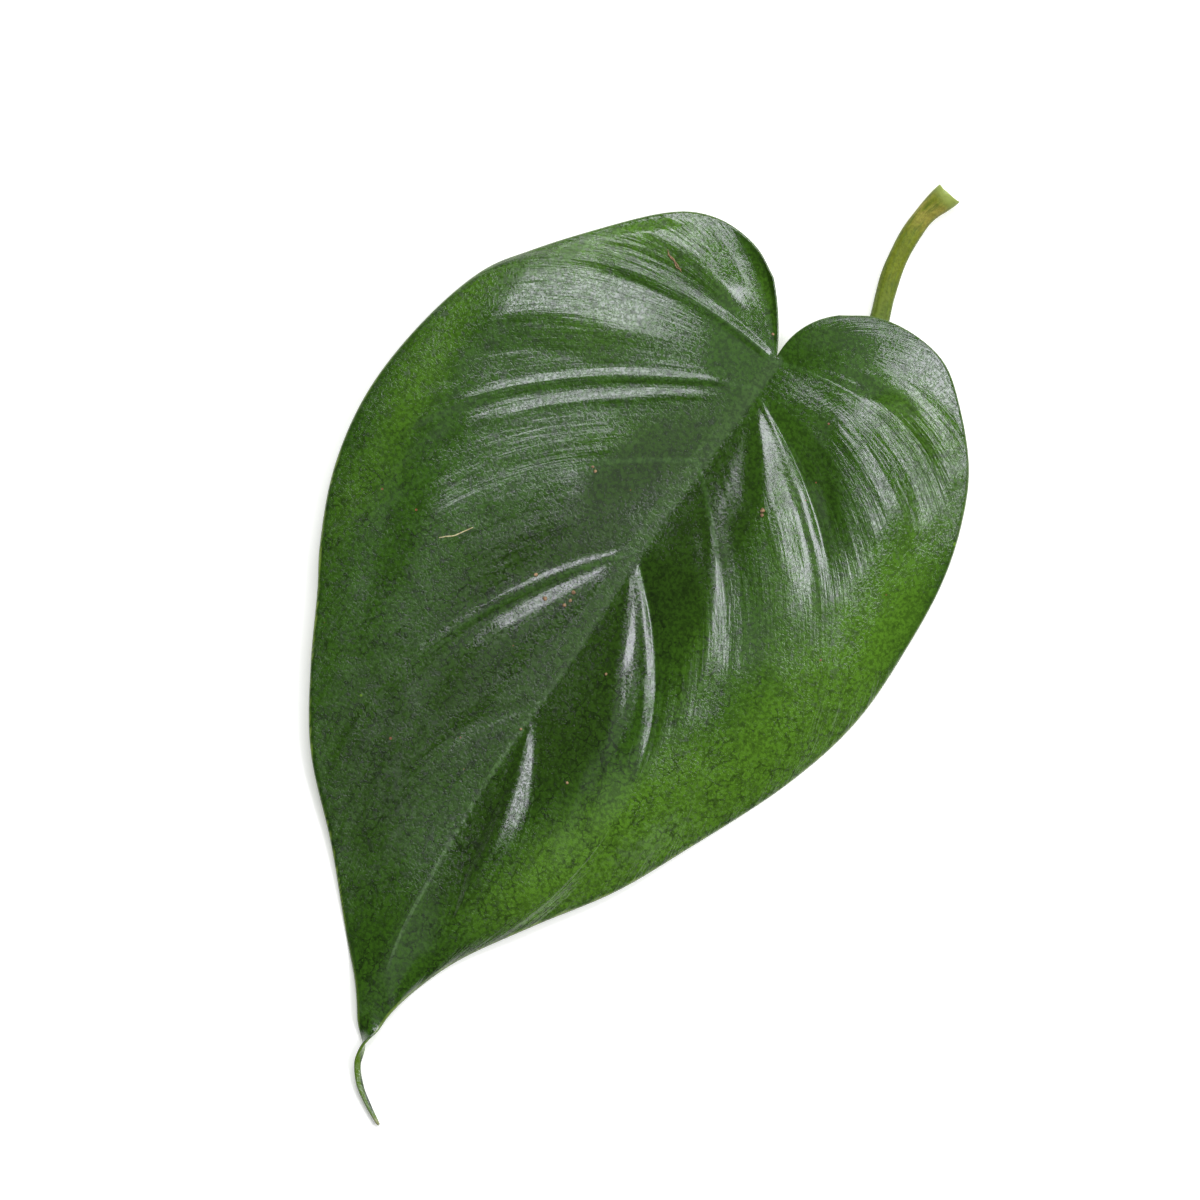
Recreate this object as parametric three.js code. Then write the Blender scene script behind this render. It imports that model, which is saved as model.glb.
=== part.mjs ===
// One heartleaf leaf, picked with a short piece of its stalk and lying face up.
// Millimetres, +Z up, +Y along the midrib towards the stalk. Curves are laid out from the notch
// between the two lobes, and the finished leaf is then moved so that the origin is the middle of
// the rectangle that it covers, on the surface that it lies on.
import * as THREE from "three";

// Driving dimensions
const BLADE_THICKNESS = 0.7;
const MIDRIB_HALF_WIDTH = 1.5;
const MIDRIB_RIDGE_DEPTH = 1.1;
const MIDRIB_SINK = 0.9;
const MIDRIB_SINK_REACH = 9;
const VEIN_RIDGE_DEPTH = 0.35;
const POINT_SPACING = 3.1;
const GROOVE_REACH = 0.5;
const GROOVE_START = 7;
const GROOVE_FADE = 0.7;
const LOBE_SHARE = 0.07;
const PLACE_TOLERANCE = 1e-6;
const SINK_FADES_FROM = -70;
const SINK_ENDS_AT = -103;
const RIDGE_STARTS_AT = -2;
const RIDGE_FULL_AT = -8;
const RIDGE_ENDS_AT = -106;
const TIP_ROLL = THREE.MathUtils.degToRad(168);
const TIP_ROLL_FROM = -107;
const TIP_ROLL_TO = -116;
const STALK_RADIUS = 1.4;
const STALK_END_RADIUS = 1.85;
const STALK_SIDES = 12;
const STALK_RINGS = 26;
const STALK_FLARE_FROM = 0.86;
const STALK_CUT_SLANT = 1.3;

const LEAF_GREEN = 0x2f5a24;
const STALK_GREEN = 0x7d8a35;

// The midrib as it lies: a shallow bow that comes down to the drip tip
const midrib = new THREE.CatmullRomCurve3([
  new THREE.Vector3(0, 0, 6.4),
  new THREE.Vector3(-1.2, -10, 6.9),
  new THREE.Vector3(-2.5, -22, 7.2),
  new THREE.Vector3(-3.4, -38, 7.0),
  new THREE.Vector3(-3.5, -50, 6.6),
  new THREE.Vector3(-4.4, -68, 5.4),
  new THREE.Vector3(-4.2, -86, 3.8),
  new THREE.Vector3(-3.5, -96, 2.8),
  new THREE.Vector3(-1.9, -104, 2.0),
  new THREE.Vector3(-0.6, -109, 1.6),
  new THREE.Vector3(0.1, -111.8, 1.45),
  new THREE.Vector3(1.0, -114.5, 1.2),
  new THREE.Vector3(2.8, -116.9, 0.9),
  new THREE.Vector3(5.2, -118.7, 0.7),
  new THREE.Vector3(7.8, -120.3, 0.6),
]);

// The margins, from where the notch opens, round the lobes and down to the drip tip
const leftMargin = new THREE.CatmullRomCurve3([
  new THREE.Vector3(-6.4, 9.8, 5.3),
  new THREE.Vector3(-10.5, 12.2, 4.7),
  new THREE.Vector3(-15.8, 13.05, 4.1),
  new THREE.Vector3(-20.2, 12.1, 3.7),
  new THREE.Vector3(-24.0, 9.7, 3.4),
  new THREE.Vector3(-31.9, 1.7, 2.9),
  new THREE.Vector3(-37.2, -4.4, 2.6),
  new THREE.Vector3(-41.3, -9.9, 2.2),
  new THREE.Vector3(-44.8, -20, 1.4),
  new THREE.Vector3(-46.5, -33, 0.8),
  new THREE.Vector3(-45.0, -44.5, 0.45),
  new THREE.Vector3(-41.0, -55, 0.35),
  new THREE.Vector3(-38.2, -60.2, 0.5),
  new THREE.Vector3(-33.4, -70, 1.0),
  new THREE.Vector3(-27.4, -80, 1.7),
  new THREE.Vector3(-18.0, -90, 2.0),
  new THREE.Vector3(-9.5, -100, 1.9),
  new THREE.Vector3(-5.0, -105, 1.7),
  new THREE.Vector3(-2.1, -109.3, 1.5),
  new THREE.Vector3(-1.0, -112.0, 1.45),
  new THREE.Vector3(0.1, -115.0, 1.2),
  new THREE.Vector3(2.1, -117.5, 0.9),
  new THREE.Vector3(4.8, -119.3, 0.7),
  new THREE.Vector3(7.65, -120.5, 0.6),
]);
const rightMargin = new THREE.CatmullRomCurve3([
  new THREE.Vector3(4.4, 10.0, 5.4),
  new THREE.Vector3(9.0, 12.4, 4.8),
  new THREE.Vector3(14.5, 13.1, 4.4),
  new THREE.Vector3(20.3, 11.9, 3.9),
  new THREE.Vector3(25.5, 7.6, 3.4),
  new THREE.Vector3(31.0, 0.9, 2.7),
  new THREE.Vector3(34.0, -6, 2.2),
  new THREE.Vector3(35.9, -14, 1.6),
  new THREE.Vector3(36.45, -24, 1.1),
  new THREE.Vector3(35.8, -37, 0.6),
  new THREE.Vector3(32.3, -49, 0.35),
  new THREE.Vector3(24.6, -65, 0.9),
  new THREE.Vector3(19.2, -75, 1.6),
  new THREE.Vector3(11.9, -85, 2.0),
  new THREE.Vector3(5.2, -95, 1.6),
  new THREE.Vector3(2.2, -102, 1.6),
  new THREE.Vector3(1.2, -106, 1.6),
  new THREE.Vector3(1.0, -108.7, 1.5),
  new THREE.Vector3(1.0, -111.4, 1.45),
  new THREE.Vector3(1.9, -114.0, 1.2),
  new THREE.Vector3(3.3, -116.45, 0.9),
  new THREE.Vector3(5.45, -118.3, 0.7),
  new THREE.Vector3(7.95, -120.1, 0.6),
]);

// Pairs of lateral lines from the base to the tip. Each leaves the midrib at `from`, bows out by
// `bow` of its length, rises by `dome` in its middle and meets the margin at `to`. Where `depth` is
// not nil the line is an impressed vein. `lines` is the number of steps to the next pair.
const laterals = [
  {
    from: 0,
    left: { to: null, bow: 0.08, dome: 0 },
    right: { to: null, bow: 0.27, dome: 0 },
    depth: 0,
    lines: 14,
  },
  {
    from: 0,
    left: { to: -10, bow: 0.35, dome: 2.0 },
    right: { to: -12, bow: 0.4, dome: 1.6 },
    depth: 0.9,
    lines: 9,
  },
  {
    from: -3.6,
    left: { to: -53, bow: 0.28, dome: 2.6 },
    right: { to: -52, bow: 0.31, dome: 2.4 },
    depth: 1.6,
    lines: 6,
  },
  {
    from: -17,
    left: { to: -70, bow: 0.3, dome: 2.4 },
    right: { to: -68, bow: 0.29, dome: 2.2 },
    depth: 0.5,
    lines: 6,
  },
  {
    from: -34,
    left: { to: -88, bow: 0.31, dome: 1.8 },
    right: { to: -92, bow: 0.37, dome: 1.7 },
    depth: 1.5,
    lines: 6,
  },
  {
    from: -58,
    left: { to: -96, bow: 0.27, dome: 1.0 },
    right: { to: -98.5, bow: 0.26, dome: 1.1 },
    depth: 0.8,
    lines: 5,
  },
  {
    from: -78,
    left: { to: -101, bow: 0.2, dome: 0.5 },
    right: { to: -102, bow: 0.2, dome: 0.5 },
    depth: 0.3,
    lines: 5,
  },
  {
    from: -97,
    left: { to: -105.2, bow: 0.08, dome: 0.1 },
    right: { to: -105, bow: 0.08, dome: 0.1 },
    depth: 0,
    lines: 3,
  },
  {
    from: -105.5,
    left: { to: -107.2, bow: 0, dome: 0 },
    right: { to: -106.2, bow: 0, dome: 0 },
    depth: 0,
    lines: 6,
  },
  {
    from: -111.8,
    left: { to: -112, bow: 0, dome: 0 },
    right: { to: -111.4, bow: 0, dome: 0 },
    depth: 0,
    lines: 5,
  },
  {
    from: -116.9,
    left: { to: -117.5, bow: 0, dome: 0 },
    right: { to: -116.3, bow: 0, dome: 0 },
    depth: 0,
    lines: 4,
  },
  {
    from: -120.3,
    left: { to: -120.5, bow: 0, dome: 0 },
    right: { to: -120.1, bow: 0, dome: 0 },
    depth: 0,
    lines: 0,
  },
];

// The stalk: out from under the notch, beneath the right lobe and along the surface
const stalkPlan = [
  { x: 0.4, y: -1.2, lift: 1.9 },
  { x: 3.4, y: -0.2, lift: 1.65 },
  { x: 6.6, y: 1.2, lift: 1.1 },
  { x: 9.2, y: 4.0, lift: 0.5 },
  { x: 10.2, y: 8.2, lift: 0.1 },
  { x: 9.5, y: 12.5, lift: 0 },
  { x: 8.4, y: 16, lift: 0 },
  { x: 7.4, y: 20, lift: 0 },
  { x: 7.0, y: 25, lift: 0 },
  { x: 7.4, y: 29, lift: 0 },
  { x: 8.7, y: 33, lift: 0 },
];

const { lerp, smoothstep } = THREE.MathUtils;

// The share of a curve's length, from 0 to 1, at which it comes down to y. A margin first rises
// to the top of its lobe, within `skip` of its length.
function placeAtY(curve, y, skip) {
  let low = skip;
  let high = 1;
  while (high - low > PLACE_TOLERANCE) {
    const middle = (low + high) / 2;
    if (curve.getPointAt(middle).y > y) {
      low = middle;
    } else {
      high = middle;
    }
  }
  return low;
}

// The roll of the blade about its midrib, which turns the drip tip over
function rollAt(y) {
  return TIP_ROLL * smoothstep(-y, -TIP_ROLL_FROM, -TIP_ROLL_TO);
}

// How far the upper face sinks beside the nearest veins, for a line at `share` of the way
// between two of them
function grooveDepth(before, after, share) {
  const near = Math.max(0, 1 - share / GROOVE_REACH) ** 2;
  const far = Math.max(0, 1 - (1 - share) / GROOVE_REACH) ** 2;
  return before.depth * near + after.depth * far;
}

// How far the blade sinks towards the midrib, at a distance from it
function midribSink(y, distance) {
  const share = Math.max(0, 1 - distance / MIDRIB_SINK_REACH) ** 2;
  return MIDRIB_SINK * share * (1 - smoothstep(-y, -SINK_FADES_FROM, -SINK_ENDS_AT));
}

// How far the midrib stands out below, from just past the stalk to the drip tip
function midribRidge(y) {
  const start = smoothstep(-y, -RIDGE_STARTS_AT, -RIDGE_FULL_AT);
  const taper = 1 - smoothstep(-y, -RIDGE_FULL_AT, -RIDGE_ENDS_AT);
  return MIDRIB_RIDGE_DEPTH * start * taper;
}

// One line across half of the blade, from the midrib to the margin, as points with the direction
// in which the blade's thickness is laid off
function lateralLine(margin, side, before, after, share) {
  const y = lerp(before.from, after.from, share);
  const place = placeAtY(midrib, y, 0);
  const start = midrib.getPointAt(place);
  const axis = midrib.getTangentAt(place);
  const marginStart = before[side].to === null ? 0 : placeAtY(margin, before[side].to, LOBE_SHARE);
  const marginPlace = lerp(marginStart, placeAtY(margin, after[side].to, LOBE_SHARE), share);
  const end = margin.getPointAt(marginPlace);
  const bow = lerp(before[side].bow, after[side].bow, share);
  const dome = lerp(before[side].dome, after[side].dome, share);
  const chord = end.clone().sub(start);
  const outward = new THREE.Vector3(chord.y, -chord.x, 0);
  if (side === "right") {
    outward.negate();
  }
  const control = start.clone().add(end).multiplyScalar(0.5).addScaledVector(outward, bow);
  control.z += 2 * dome;
  const curve = new THREE.QuadraticBezierCurve3(start, control, end);
  const length = curve.getLength();
  const roll = rollAt(y);
  const up = new THREE.Vector3(0, 0, 1).applyAxisAngle(axis, roll);
  const sink = grooveDepth(before, after, share);
  const vein = share === 0 && before.depth > 0;

  const first = Math.min(MIDRIB_HALF_WIDTH / length, 0.5);
  const steps = Math.max(1, Math.round((length * (1 - first)) / POINT_SPACING));
  const points = [];
  for (let step = -1; step <= steps; step += 1) {
    const along = step < 0 ? 0 : first + ((1 - first) * step) / steps;
    const place3 = curve.getPoint(along);
    place3.sub(start).applyAxisAngle(axis, roll).add(start);
    const fade = Math.min(1, (along * length) / GROOVE_START) * Math.max(0, 1 - along) ** GROOVE_FADE;
    place3.addScaledVector(up, -sink * fade - midribSink(y, along * length));
    const rib = vein && step >= 0 ? VEIN_RIDGE_DEPTH * (1 - along) : 0;
    const ridge = step < 0 ? midribRidge(y) : rib;
    points.push({ along, place: place3, up, ridge });
  }
  return points;
}

// All the lines of the blade. Both halves share the points on the midrib, and every line
// of the base fans out from the notch.
function bladeLines() {
  const rows = [];
  for (let pair = 0; pair < laterals.length - 1; pair += 1) {
    const before = laterals[pair];
    const after = laterals[pair + 1];
    const count = before.lines;
    const last = pair === laterals.length - 2 ? count : count - 1;
    for (let step = 0; step <= last; step += 1) {
      const share = step / count;
      const left = lateralLine(leftMargin, "left", before, after, share);
      const right = lateralLine(rightMargin, "right", before, after, share);
      if (rows.length > 0 && lerp(before.from, after.from, share) === 0) {
        left[0] = rows[0].left[0];
      }
      right[0] = left[0];
      rows.push({ left, right });
    }
  }
  return rows;
}

// Triangles between two neighbouring lines, each with points of its own number
function zip(first, second, flip) {
  const triangles = [];
  let a = 0;
  let b = 0;
  while (a + 1 < first.length || b + 1 < second.length) {
    const firstAlong = first[a + 1]?.along ?? Infinity;
    const secondAlong = second[b + 1]?.along ?? Infinity;
    const stepFirst = firstAlong <= secondAlong;
    const next = stepFirst ? first[a + 1] : second[b + 1];
    if (first[a] !== second[b]) {
      const triangle = [first[a], second[b], next];
      triangles.push(flip ? triangle.reverse() : triangle);
    }
    if (stepFirst) {
      a += 1;
    } else {
      b += 1;
    }
  }
  return triangles;
}

// The blade: the same triangles on both faces, and a strip round the rim between them
function bladeGeometry() {
  const rows = bladeLines();
  const points = [...new Set(rows.flatMap((row) => [...row.left, ...row.right]))];
  points.forEach((point, index) => {
    point.index = index;
  });

  const half = BLADE_THICKNESS / 2;
  const positions = [];
  for (const point of points) {
    positions.push(...point.place.clone().addScaledVector(point.up, half).toArray());
  }
  for (const point of points) {
    positions.push(...point.place.clone().addScaledVector(point.up, -half - point.ridge).toArray());
  }

  const faces = [];
  for (let row = 0; row < rows.length - 1; row += 1) {
    faces.push(...zip(rows[row].left, rows[row + 1].left, true));
    faces.push(...zip(rows[row].right, rows[row + 1].right, false));
  }

  const lastRow = rows[rows.length - 1];
  const rim = [
    ...rows[0].left,
    ...rows.slice(1).map((row) => row.left[row.left.length - 1]),
    ...lastRow.left.slice(0, -1).reverse(),
    ...lastRow.right.slice(1),
    ...rows.slice(1, -1).map((row) => row.right[row.right.length - 1]).reverse(),
    ...rows[0].right.slice(1).reverse(),
  ];

  const count = points.length;
  const indices = [];
  for (const [a, b, c] of faces) {
    indices.push(a.index, b.index, c.index);
    indices.push(c.index + count, b.index + count, a.index + count);
  }
  rim.forEach((point, place) => {
    const next = rim[(place + 1) % rim.length];
    indices.push(point.index, point.index + count, next.index + count);
    indices.push(point.index, next.index + count, next.index);
  });

  const geometry = new THREE.BufferGeometry();
  geometry.setAttribute("position", new THREE.Float32BufferAttribute(positions, 3));
  geometry.setIndex(indices);
  return geometry;
}

// The stalk: round rings along its path, wider at the cut, which slants back over the top
function stalkGeometry() {
  const flat = Math.cos(Math.PI / STALK_SIDES);
  const path = new THREE.CatmullRomCurve3(
    stalkPlan.map(({ x, y, lift }) => new THREE.Vector3(x, y, lift)),
  );
  const positions = [];
  const indices = [];
  for (let ring = 0; ring < STALK_RINGS; ring += 1) {
    const along = ring / (STALK_RINGS - 1);
    const radius = lerp(STALK_RADIUS, STALK_END_RADIUS, smoothstep(along, STALK_FLARE_FROM, 1));
    const centre = path.getPointAt(along);
    centre.z += radius * flat;
    const ahead = path.getTangentAt(along).setZ(0).normalize();
    const across = new THREE.Vector3(ahead.y, -ahead.x, 0);
    const slant = ring === STALK_RINGS - 1 ? STALK_CUT_SLANT : 0;
    for (let side = 0; side < STALK_SIDES; side += 1) {
      const angle = ((side + 0.5) * 2 * Math.PI) / STALK_SIDES;
      const corner = centre.clone().addScaledVector(across, radius * Math.cos(angle));
      corner.z += radius * Math.sin(angle);
      corner.addScaledVector(ahead, -slant * Math.max(0, Math.sin(angle)));
      positions.push(...corner.toArray());
      if (ring > 0) {
        const here = ring * STALK_SIDES + side;
        const beside = ring * STALK_SIDES + ((side + 1) % STALK_SIDES);
        indices.push(here, beside, here - STALK_SIDES);
        indices.push(beside, beside - STALK_SIDES, here - STALK_SIDES);
      }
    }
  }
  const lastRing = (STALK_RINGS - 1) * STALK_SIDES;
  for (let side = 1; side < STALK_SIDES - 1; side += 1) {
    indices.push(0, side, side + 1);
    indices.push(lastRing, lastRing + side + 1, lastRing + side);
  }
  const geometry = new THREE.BufferGeometry();
  geometry.setAttribute("position", new THREE.Float32BufferAttribute(positions, 3));
  geometry.setIndex(indices);
  return geometry;
}

function piece(name, geometry, color, roughness) {
  const material = new THREE.MeshStandardMaterial({ color, roughness, metalness: 0 });
  const mesh = new THREE.Mesh(geometry, material);
  mesh.name = name;
  return mesh;
}

const leaf = new THREE.Group();
leaf.add(piece("leaf_blade", bladeGeometry(), LEAF_GREEN, 0.35));
leaf.add(piece("petiole", stalkGeometry(), STALK_GREEN, 0.5));

const extent = new THREE.Box3().setFromObject(leaf);
const middle = extent.getCenter(new THREE.Vector3());
leaf.position.set(-middle.x, -middle.y, -extent.min.z);

const part = new THREE.Group();
part.add(leaf);
export default part;
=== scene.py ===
"""One picked heartleaf leaf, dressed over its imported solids.

The blade and its stalk replace the plain solids of the frame with finer meshes of the same form.
Leaf places are given in millimetres from the notch between the two lobes, with +Y along the
midrib towards the stalk and +Z up. Placement turns them into metres in the frame.
"""

import logging
import math
from dataclasses import dataclass, field
from enum import Enum
from typing import Any, Sequence

import bmesh
import bpy
import numpy as np
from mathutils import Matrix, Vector, noise
from mathutils.bvhtree import BVHTree


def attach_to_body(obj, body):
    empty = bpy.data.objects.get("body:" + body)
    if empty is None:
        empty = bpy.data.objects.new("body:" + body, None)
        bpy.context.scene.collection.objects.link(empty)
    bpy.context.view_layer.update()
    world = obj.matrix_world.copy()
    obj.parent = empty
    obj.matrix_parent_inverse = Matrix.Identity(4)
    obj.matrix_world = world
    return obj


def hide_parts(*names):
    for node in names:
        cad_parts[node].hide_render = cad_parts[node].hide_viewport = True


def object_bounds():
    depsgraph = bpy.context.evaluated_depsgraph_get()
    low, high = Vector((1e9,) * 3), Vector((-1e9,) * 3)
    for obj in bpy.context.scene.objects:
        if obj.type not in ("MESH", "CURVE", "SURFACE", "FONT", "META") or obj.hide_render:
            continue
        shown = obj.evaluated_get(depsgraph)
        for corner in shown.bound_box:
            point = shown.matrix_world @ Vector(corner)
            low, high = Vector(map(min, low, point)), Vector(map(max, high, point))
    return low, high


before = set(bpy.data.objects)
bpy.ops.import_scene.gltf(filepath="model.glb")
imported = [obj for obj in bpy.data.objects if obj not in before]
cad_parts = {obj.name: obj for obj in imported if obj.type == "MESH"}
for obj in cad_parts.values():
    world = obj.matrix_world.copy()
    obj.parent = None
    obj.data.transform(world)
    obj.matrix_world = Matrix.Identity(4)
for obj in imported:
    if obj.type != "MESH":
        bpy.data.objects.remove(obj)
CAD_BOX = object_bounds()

LOG = logging.getLogger("leaf")
MILLIMETRE = 0.001
# The lowest x and y of the solid leaf, as a leaf place.
LEAF_LOW_CORNER = (-46.49, -120.57)
# The distance to the nearest vein where a panel has none.
NO_VEIN = 99.0
# The name of the map that runs across and along the lateral lines.
VEIN_MAP = "VeinFlow"

Colour = tuple[float, float, float]
Point = tuple[float, float, float]
Pairs = tuple[tuple[float, float], ...]
Socket = bpy.types.NodeSocket


class Side(Enum):
    """A half of the blade, seen from above with the stalk at the top."""

    LEFT = -1
    RIGHT = 1


class Face(Enum):
    """Which skin of the blade a point is on, as the value of the `under` mark."""

    UPPER = 0.0
    RIM = 0.5
    UNDER = 1.0


def ease(value: np.ndarray | float, low: float, high: float) -> np.ndarray:
    """A smooth step from 0 at low to 1 at high."""
    share = np.clip((np.asarray(value, float) - low) / (high - low), 0, 1)
    return share * share * (3 - 2 * share)


def turned(
    points: np.ndarray, pivots: np.ndarray, axes: np.ndarray, angles: np.ndarray
) -> np.ndarray:
    """Points turned about axes through pivots.

    Args:
        points: places, as rows of three numbers in the last axis.
        pivots: a place on each axis.
        axes: unit directions.
        angles: turns in radians, one for each point.

    Returns:
        The turned places.
    """
    arm = points - pivots
    cosine, sine = np.cos(angles)[..., None], np.sin(angles)[..., None]
    along = np.sum(arm * axes, -1, keepdims=True) * axes
    return pivots + arm * cosine + np.cross(axes, arm) * sine + along * (1 - cosine)


def gap_to(points: np.ndarray, line: np.ndarray) -> np.ndarray:
    """Distances from points to the nearest sample of a line, seen from above."""
    return np.linalg.norm(points[:, None, :2] - line[None, :, :2], axis=-1).min(1)


def placed(name: str, data: bpy.types.ID) -> bpy.types.Object:
    """Puts a mesh, a light or a camera into the scene."""
    obj = bpy.data.objects.new(name, data)
    bpy.context.scene.collection.objects.link(obj)
    return obj


def smooth_piece(name: str, mesh: bpy.types.Mesh) -> bpy.types.Object:
    """Puts a smoothly shaded mesh into the scene."""
    mesh.polygons.foreach_set("use_smooth", [True] * len(mesh.polygons))
    return placed(name, mesh)


def write_marks(
    mesh: bpy.types.Mesh, marks: dict[str, np.ndarray], place_mark: str, places: np.ndarray
) -> None:
    """Writes what a finish reads, one row for each vertex.

    Args:
        mesh: the mesh to write on.
        marks: its numbers, by name.
        place_mark: the name under which its places go.
        places: the places.
    """
    for name, values in marks.items():
        made = mesh.attributes.new(name, "FLOAT", "POINT")
        made.data.foreach_set("value", values.astype(np.float32))
    made = mesh.attributes.new(place_mark, "FLOAT_VECTOR", "POINT")
    made.data.foreach_set("vector", places.astype(np.float32).ravel())


class SmoothCurve:
    """A smooth curve through given points, read by its share of length."""

    def __init__(self, points: Sequence[Point], steps: int = 60) -> None:
        """Samples the curve closely and keeps the length at each sample.

        Args:
            points: the places that the curve runs through, in millimetres.
            steps: how many samples lie between two of them.
        """
        knots = np.array(points, float)
        before = 2 * knots[0] - knots[1]
        after = 2 * knots[-1] - knots[-2]
        knots = np.vstack([before, knots, after])
        stretches = (knots[place - 1 : place + 3] for place in range(1, len(knots) - 2))
        spans = [self._span(stretch, steps) for stretch in stretches]
        self.samples = np.vstack([*spans, knots[-2][None]])
        gaps = np.linalg.norm(np.diff(self.samples, axis=0), axis=1)
        self.lengths = np.concatenate([[0.0], np.cumsum(gaps)])
        self.length = float(self.lengths[-1])

    @staticmethod
    def _span(knots: np.ndarray, steps: int) -> np.ndarray:
        """Samples of the stretch between the middle two of four knots.

        Args:
            knots: four places in a row.
            steps: how many samples to take.

        Returns:
            The samples, without the stretch's last point.
        """
        a, b, c, d = knots
        first, second, third = (
            math.sqrt(float(np.linalg.norm(q - p))) for p, q in ((a, b), (b, c), (c, d))
        )
        leave = (b - a) / first - (c - a) / (first + second) + (c - b) / second
        arrive = (c - b) / second - (d - b) / (second + third) + (d - c) / third
        leave, arrive = leave * second, arrive * second
        t = np.linspace(0, 1, steps, endpoint=False)[:, None]
        bend = -3 * b + 3 * c - 2 * leave - arrive
        twist = 2 * b - 2 * c + leave + arrive
        return b + leave * t + bend * t**2 + twist * t**3

    def at(self, share: np.ndarray | float) -> np.ndarray:
        """The places at shares of the curve's length, from 0 to 1."""
        target = np.asarray(share, float) * self.length
        return np.stack([np.interp(target, self.lengths, self.samples[:, k]) for k in range(3)], -1)

    def heading(self, share: np.ndarray | float) -> np.ndarray:
        """The unit directions in which the curve runs at shares of its length."""
        reach = 0.4 / self.length
        share = np.asarray(share, float)
        ahead = self.at(np.clip(share + reach, 0, 1)) - self.at(np.clip(share - reach, 0, 1))
        return ahead / np.linalg.norm(ahead, axis=-1, keepdims=True)

    def share_at_y(self, y: np.ndarray | float, skip: float = 0.0) -> np.ndarray:
        """The shares of the length at which the curve comes down to y.

        Args:
            y: one or more heights along the midrib's direction.
            skip: the share of the length within which the curve may still rise.

        Returns:
            The shares, from 0 to 1.
        """
        start = int(np.searchsorted(self.lengths, skip * self.length))
        falling = -self.samples[start:, 1]
        return np.interp(-np.asarray(y, float), falling, self.lengths[start:]) / self.length


@dataclass(frozen=True)
class Fold:
    """How the blade bends beside an impressed vein.

    `across` gives heights in millimetres by distance from the vein, negative on the side that
    faces the stalk. The fold is narrower and lower near the midrib: `root` of its size there,
    and all of it from `full` millimetres along the vein. It rises between the two `begins` and
    fades out between the two `fades`.
    """

    across: Pairs
    root: float
    full: float
    fades: tuple[float, float]
    begins: tuple[float, float] = (-1.0, 0.0)
    softness: float = 0.3
    smallest: float = 0.02
    sample: float = 0.05

    def height(self, gap: np.ndarray, distance: np.ndarray) -> np.ndarray:
        """Heights beside the vein.

        Args:
            gap: distances from the vein, negative on the side that faces the stalk.
            distance: distances from the midrib, along the vein.

        Returns:
            Heights in millimetres.
        """
        size = np.clip(self.root + (1 - self.root) * distance / self.full, self.smallest, 1)
        offsets, heights = zip(*self.across)
        fine = np.arange(offsets[0] - 2, offsets[-1] + 2, self.sample)
        shape = np.interp(fine, offsets, heights)
        taps = np.hanning(max(3, int(2 * self.softness / self.sample) + 1))
        shape = np.convolve(np.pad(shape, len(taps) // 2, mode="edge"), taps / taps.sum(), "valid")
        keep = ease(distance, *self.begins) * (1 - ease(distance, *self.fades))
        return np.interp(gap / size, fine, shape[: len(fine)]) * size * keep


@dataclass(frozen=True)
class Arm:
    """One half of a pair of lateral lines.

    `to` is the y at which it meets the margin, `bow` how far it bows out and `lean` how far the bow
    is moved towards the margin, as shares of its length, and `dome` how far its middle rises, in
    millimetres. The folds beside it make it a vein.
    """

    to: float | None
    bow: float
    lean: float
    dome: float
    folds: tuple[Fold, ...] = ()


@dataclass(frozen=True)
class LateralPair:
    """A pair of lateral lines that leave the midrib at y `start`, with `lines` up to the next."""

    start: float
    left: Arm
    right: Arm
    lines: int

    def arm(self, side: Side) -> Arm:
        """The pair's line on that side."""
        return self.left if side is Side.LEFT else self.right


MIDRIB = SmoothCurve([
    (0, 0, 7.0), (-1.2, -10, 6.6), (-2.5, -22, 6.6), (-3.4, -38, 6.4), (-3.5, -50, 6.2),
    (-4.4, -68, 5.4), (-4.2, -86, 3.9), (-3.5, -96, 2.9), (-1.9, -104, 2.1), (-0.6, -109, 1.6),
    (0.1, -111.8, 1.45), (0.8, -114.4, 1.2), (2.7, -116.9, 0.9), (5.1, -118.7, 0.7),
    (7.85, -120.35, 0.6),
])
LEFT_MARGIN = SmoothCurve([
    (-6.4, 9.8, 6.8), (-10.5, 12.2, 5.45), (-15.8, 13.05, 4.15), (-20.2, 12.1, 3.75),
    (-24.0, 9.7, 3.5), (-31.9, 1.7, 3.2), (-37.2, -4.4, 3.0), (-41.3, -9.9, 2.8),
    (-44.8, -20, 2.6), (-46.5, -33, 2.7), (-45.0, -44.5, 3.0), (-41.0, -55, 3.5),
    (-38.2, -60.2, 3.7), (-33.4, -70, 3.9), (-27.4, -80, 3.8), (-18.0, -90, 3.2),
    (-9.5, -100, 2.4), (-5.0, -105, 1.9), (-2.1, -109.3, 1.6), (-0.75, -112.0, 1.45),
    (0.4, -114.58, 1.2), (2.42, -117.18, 0.9), (4.94, -118.92, 0.7), (7.8, -120.4, 0.6),
])
RIGHT_MARGIN = SmoothCurve([
    (4.4, 10.0, 6.2), (9.0, 12.4, 5.8), (14.5, 13.1, 5.2), (20.3, 11.9, 4.4),
    (25.5, 7.6, 3.9), (31.0, 0.9, 3.2), (34.0, -6, 2.5), (35.9, -14, 1.7),
    (36.45, -24, 1.1), (35.8, -37, 0.6), (32.3, -49, 0.35), (24.6, -65, 0.9),
    (19.2, -75, 1.6), (11.9, -85, 2.0), (5.2, -95, 1.9), (2.2, -102, 2.0),
    (1.1, -106, 1.8), (0.85, -108.7, 1.55), (0.75, -111.55, 1.45), (1.1, -114.28, 1.2),
    (2.87, -116.72, 0.9), (5.2, -118.55, 0.7), (7.9, -120.3, 0.6),
])

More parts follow.
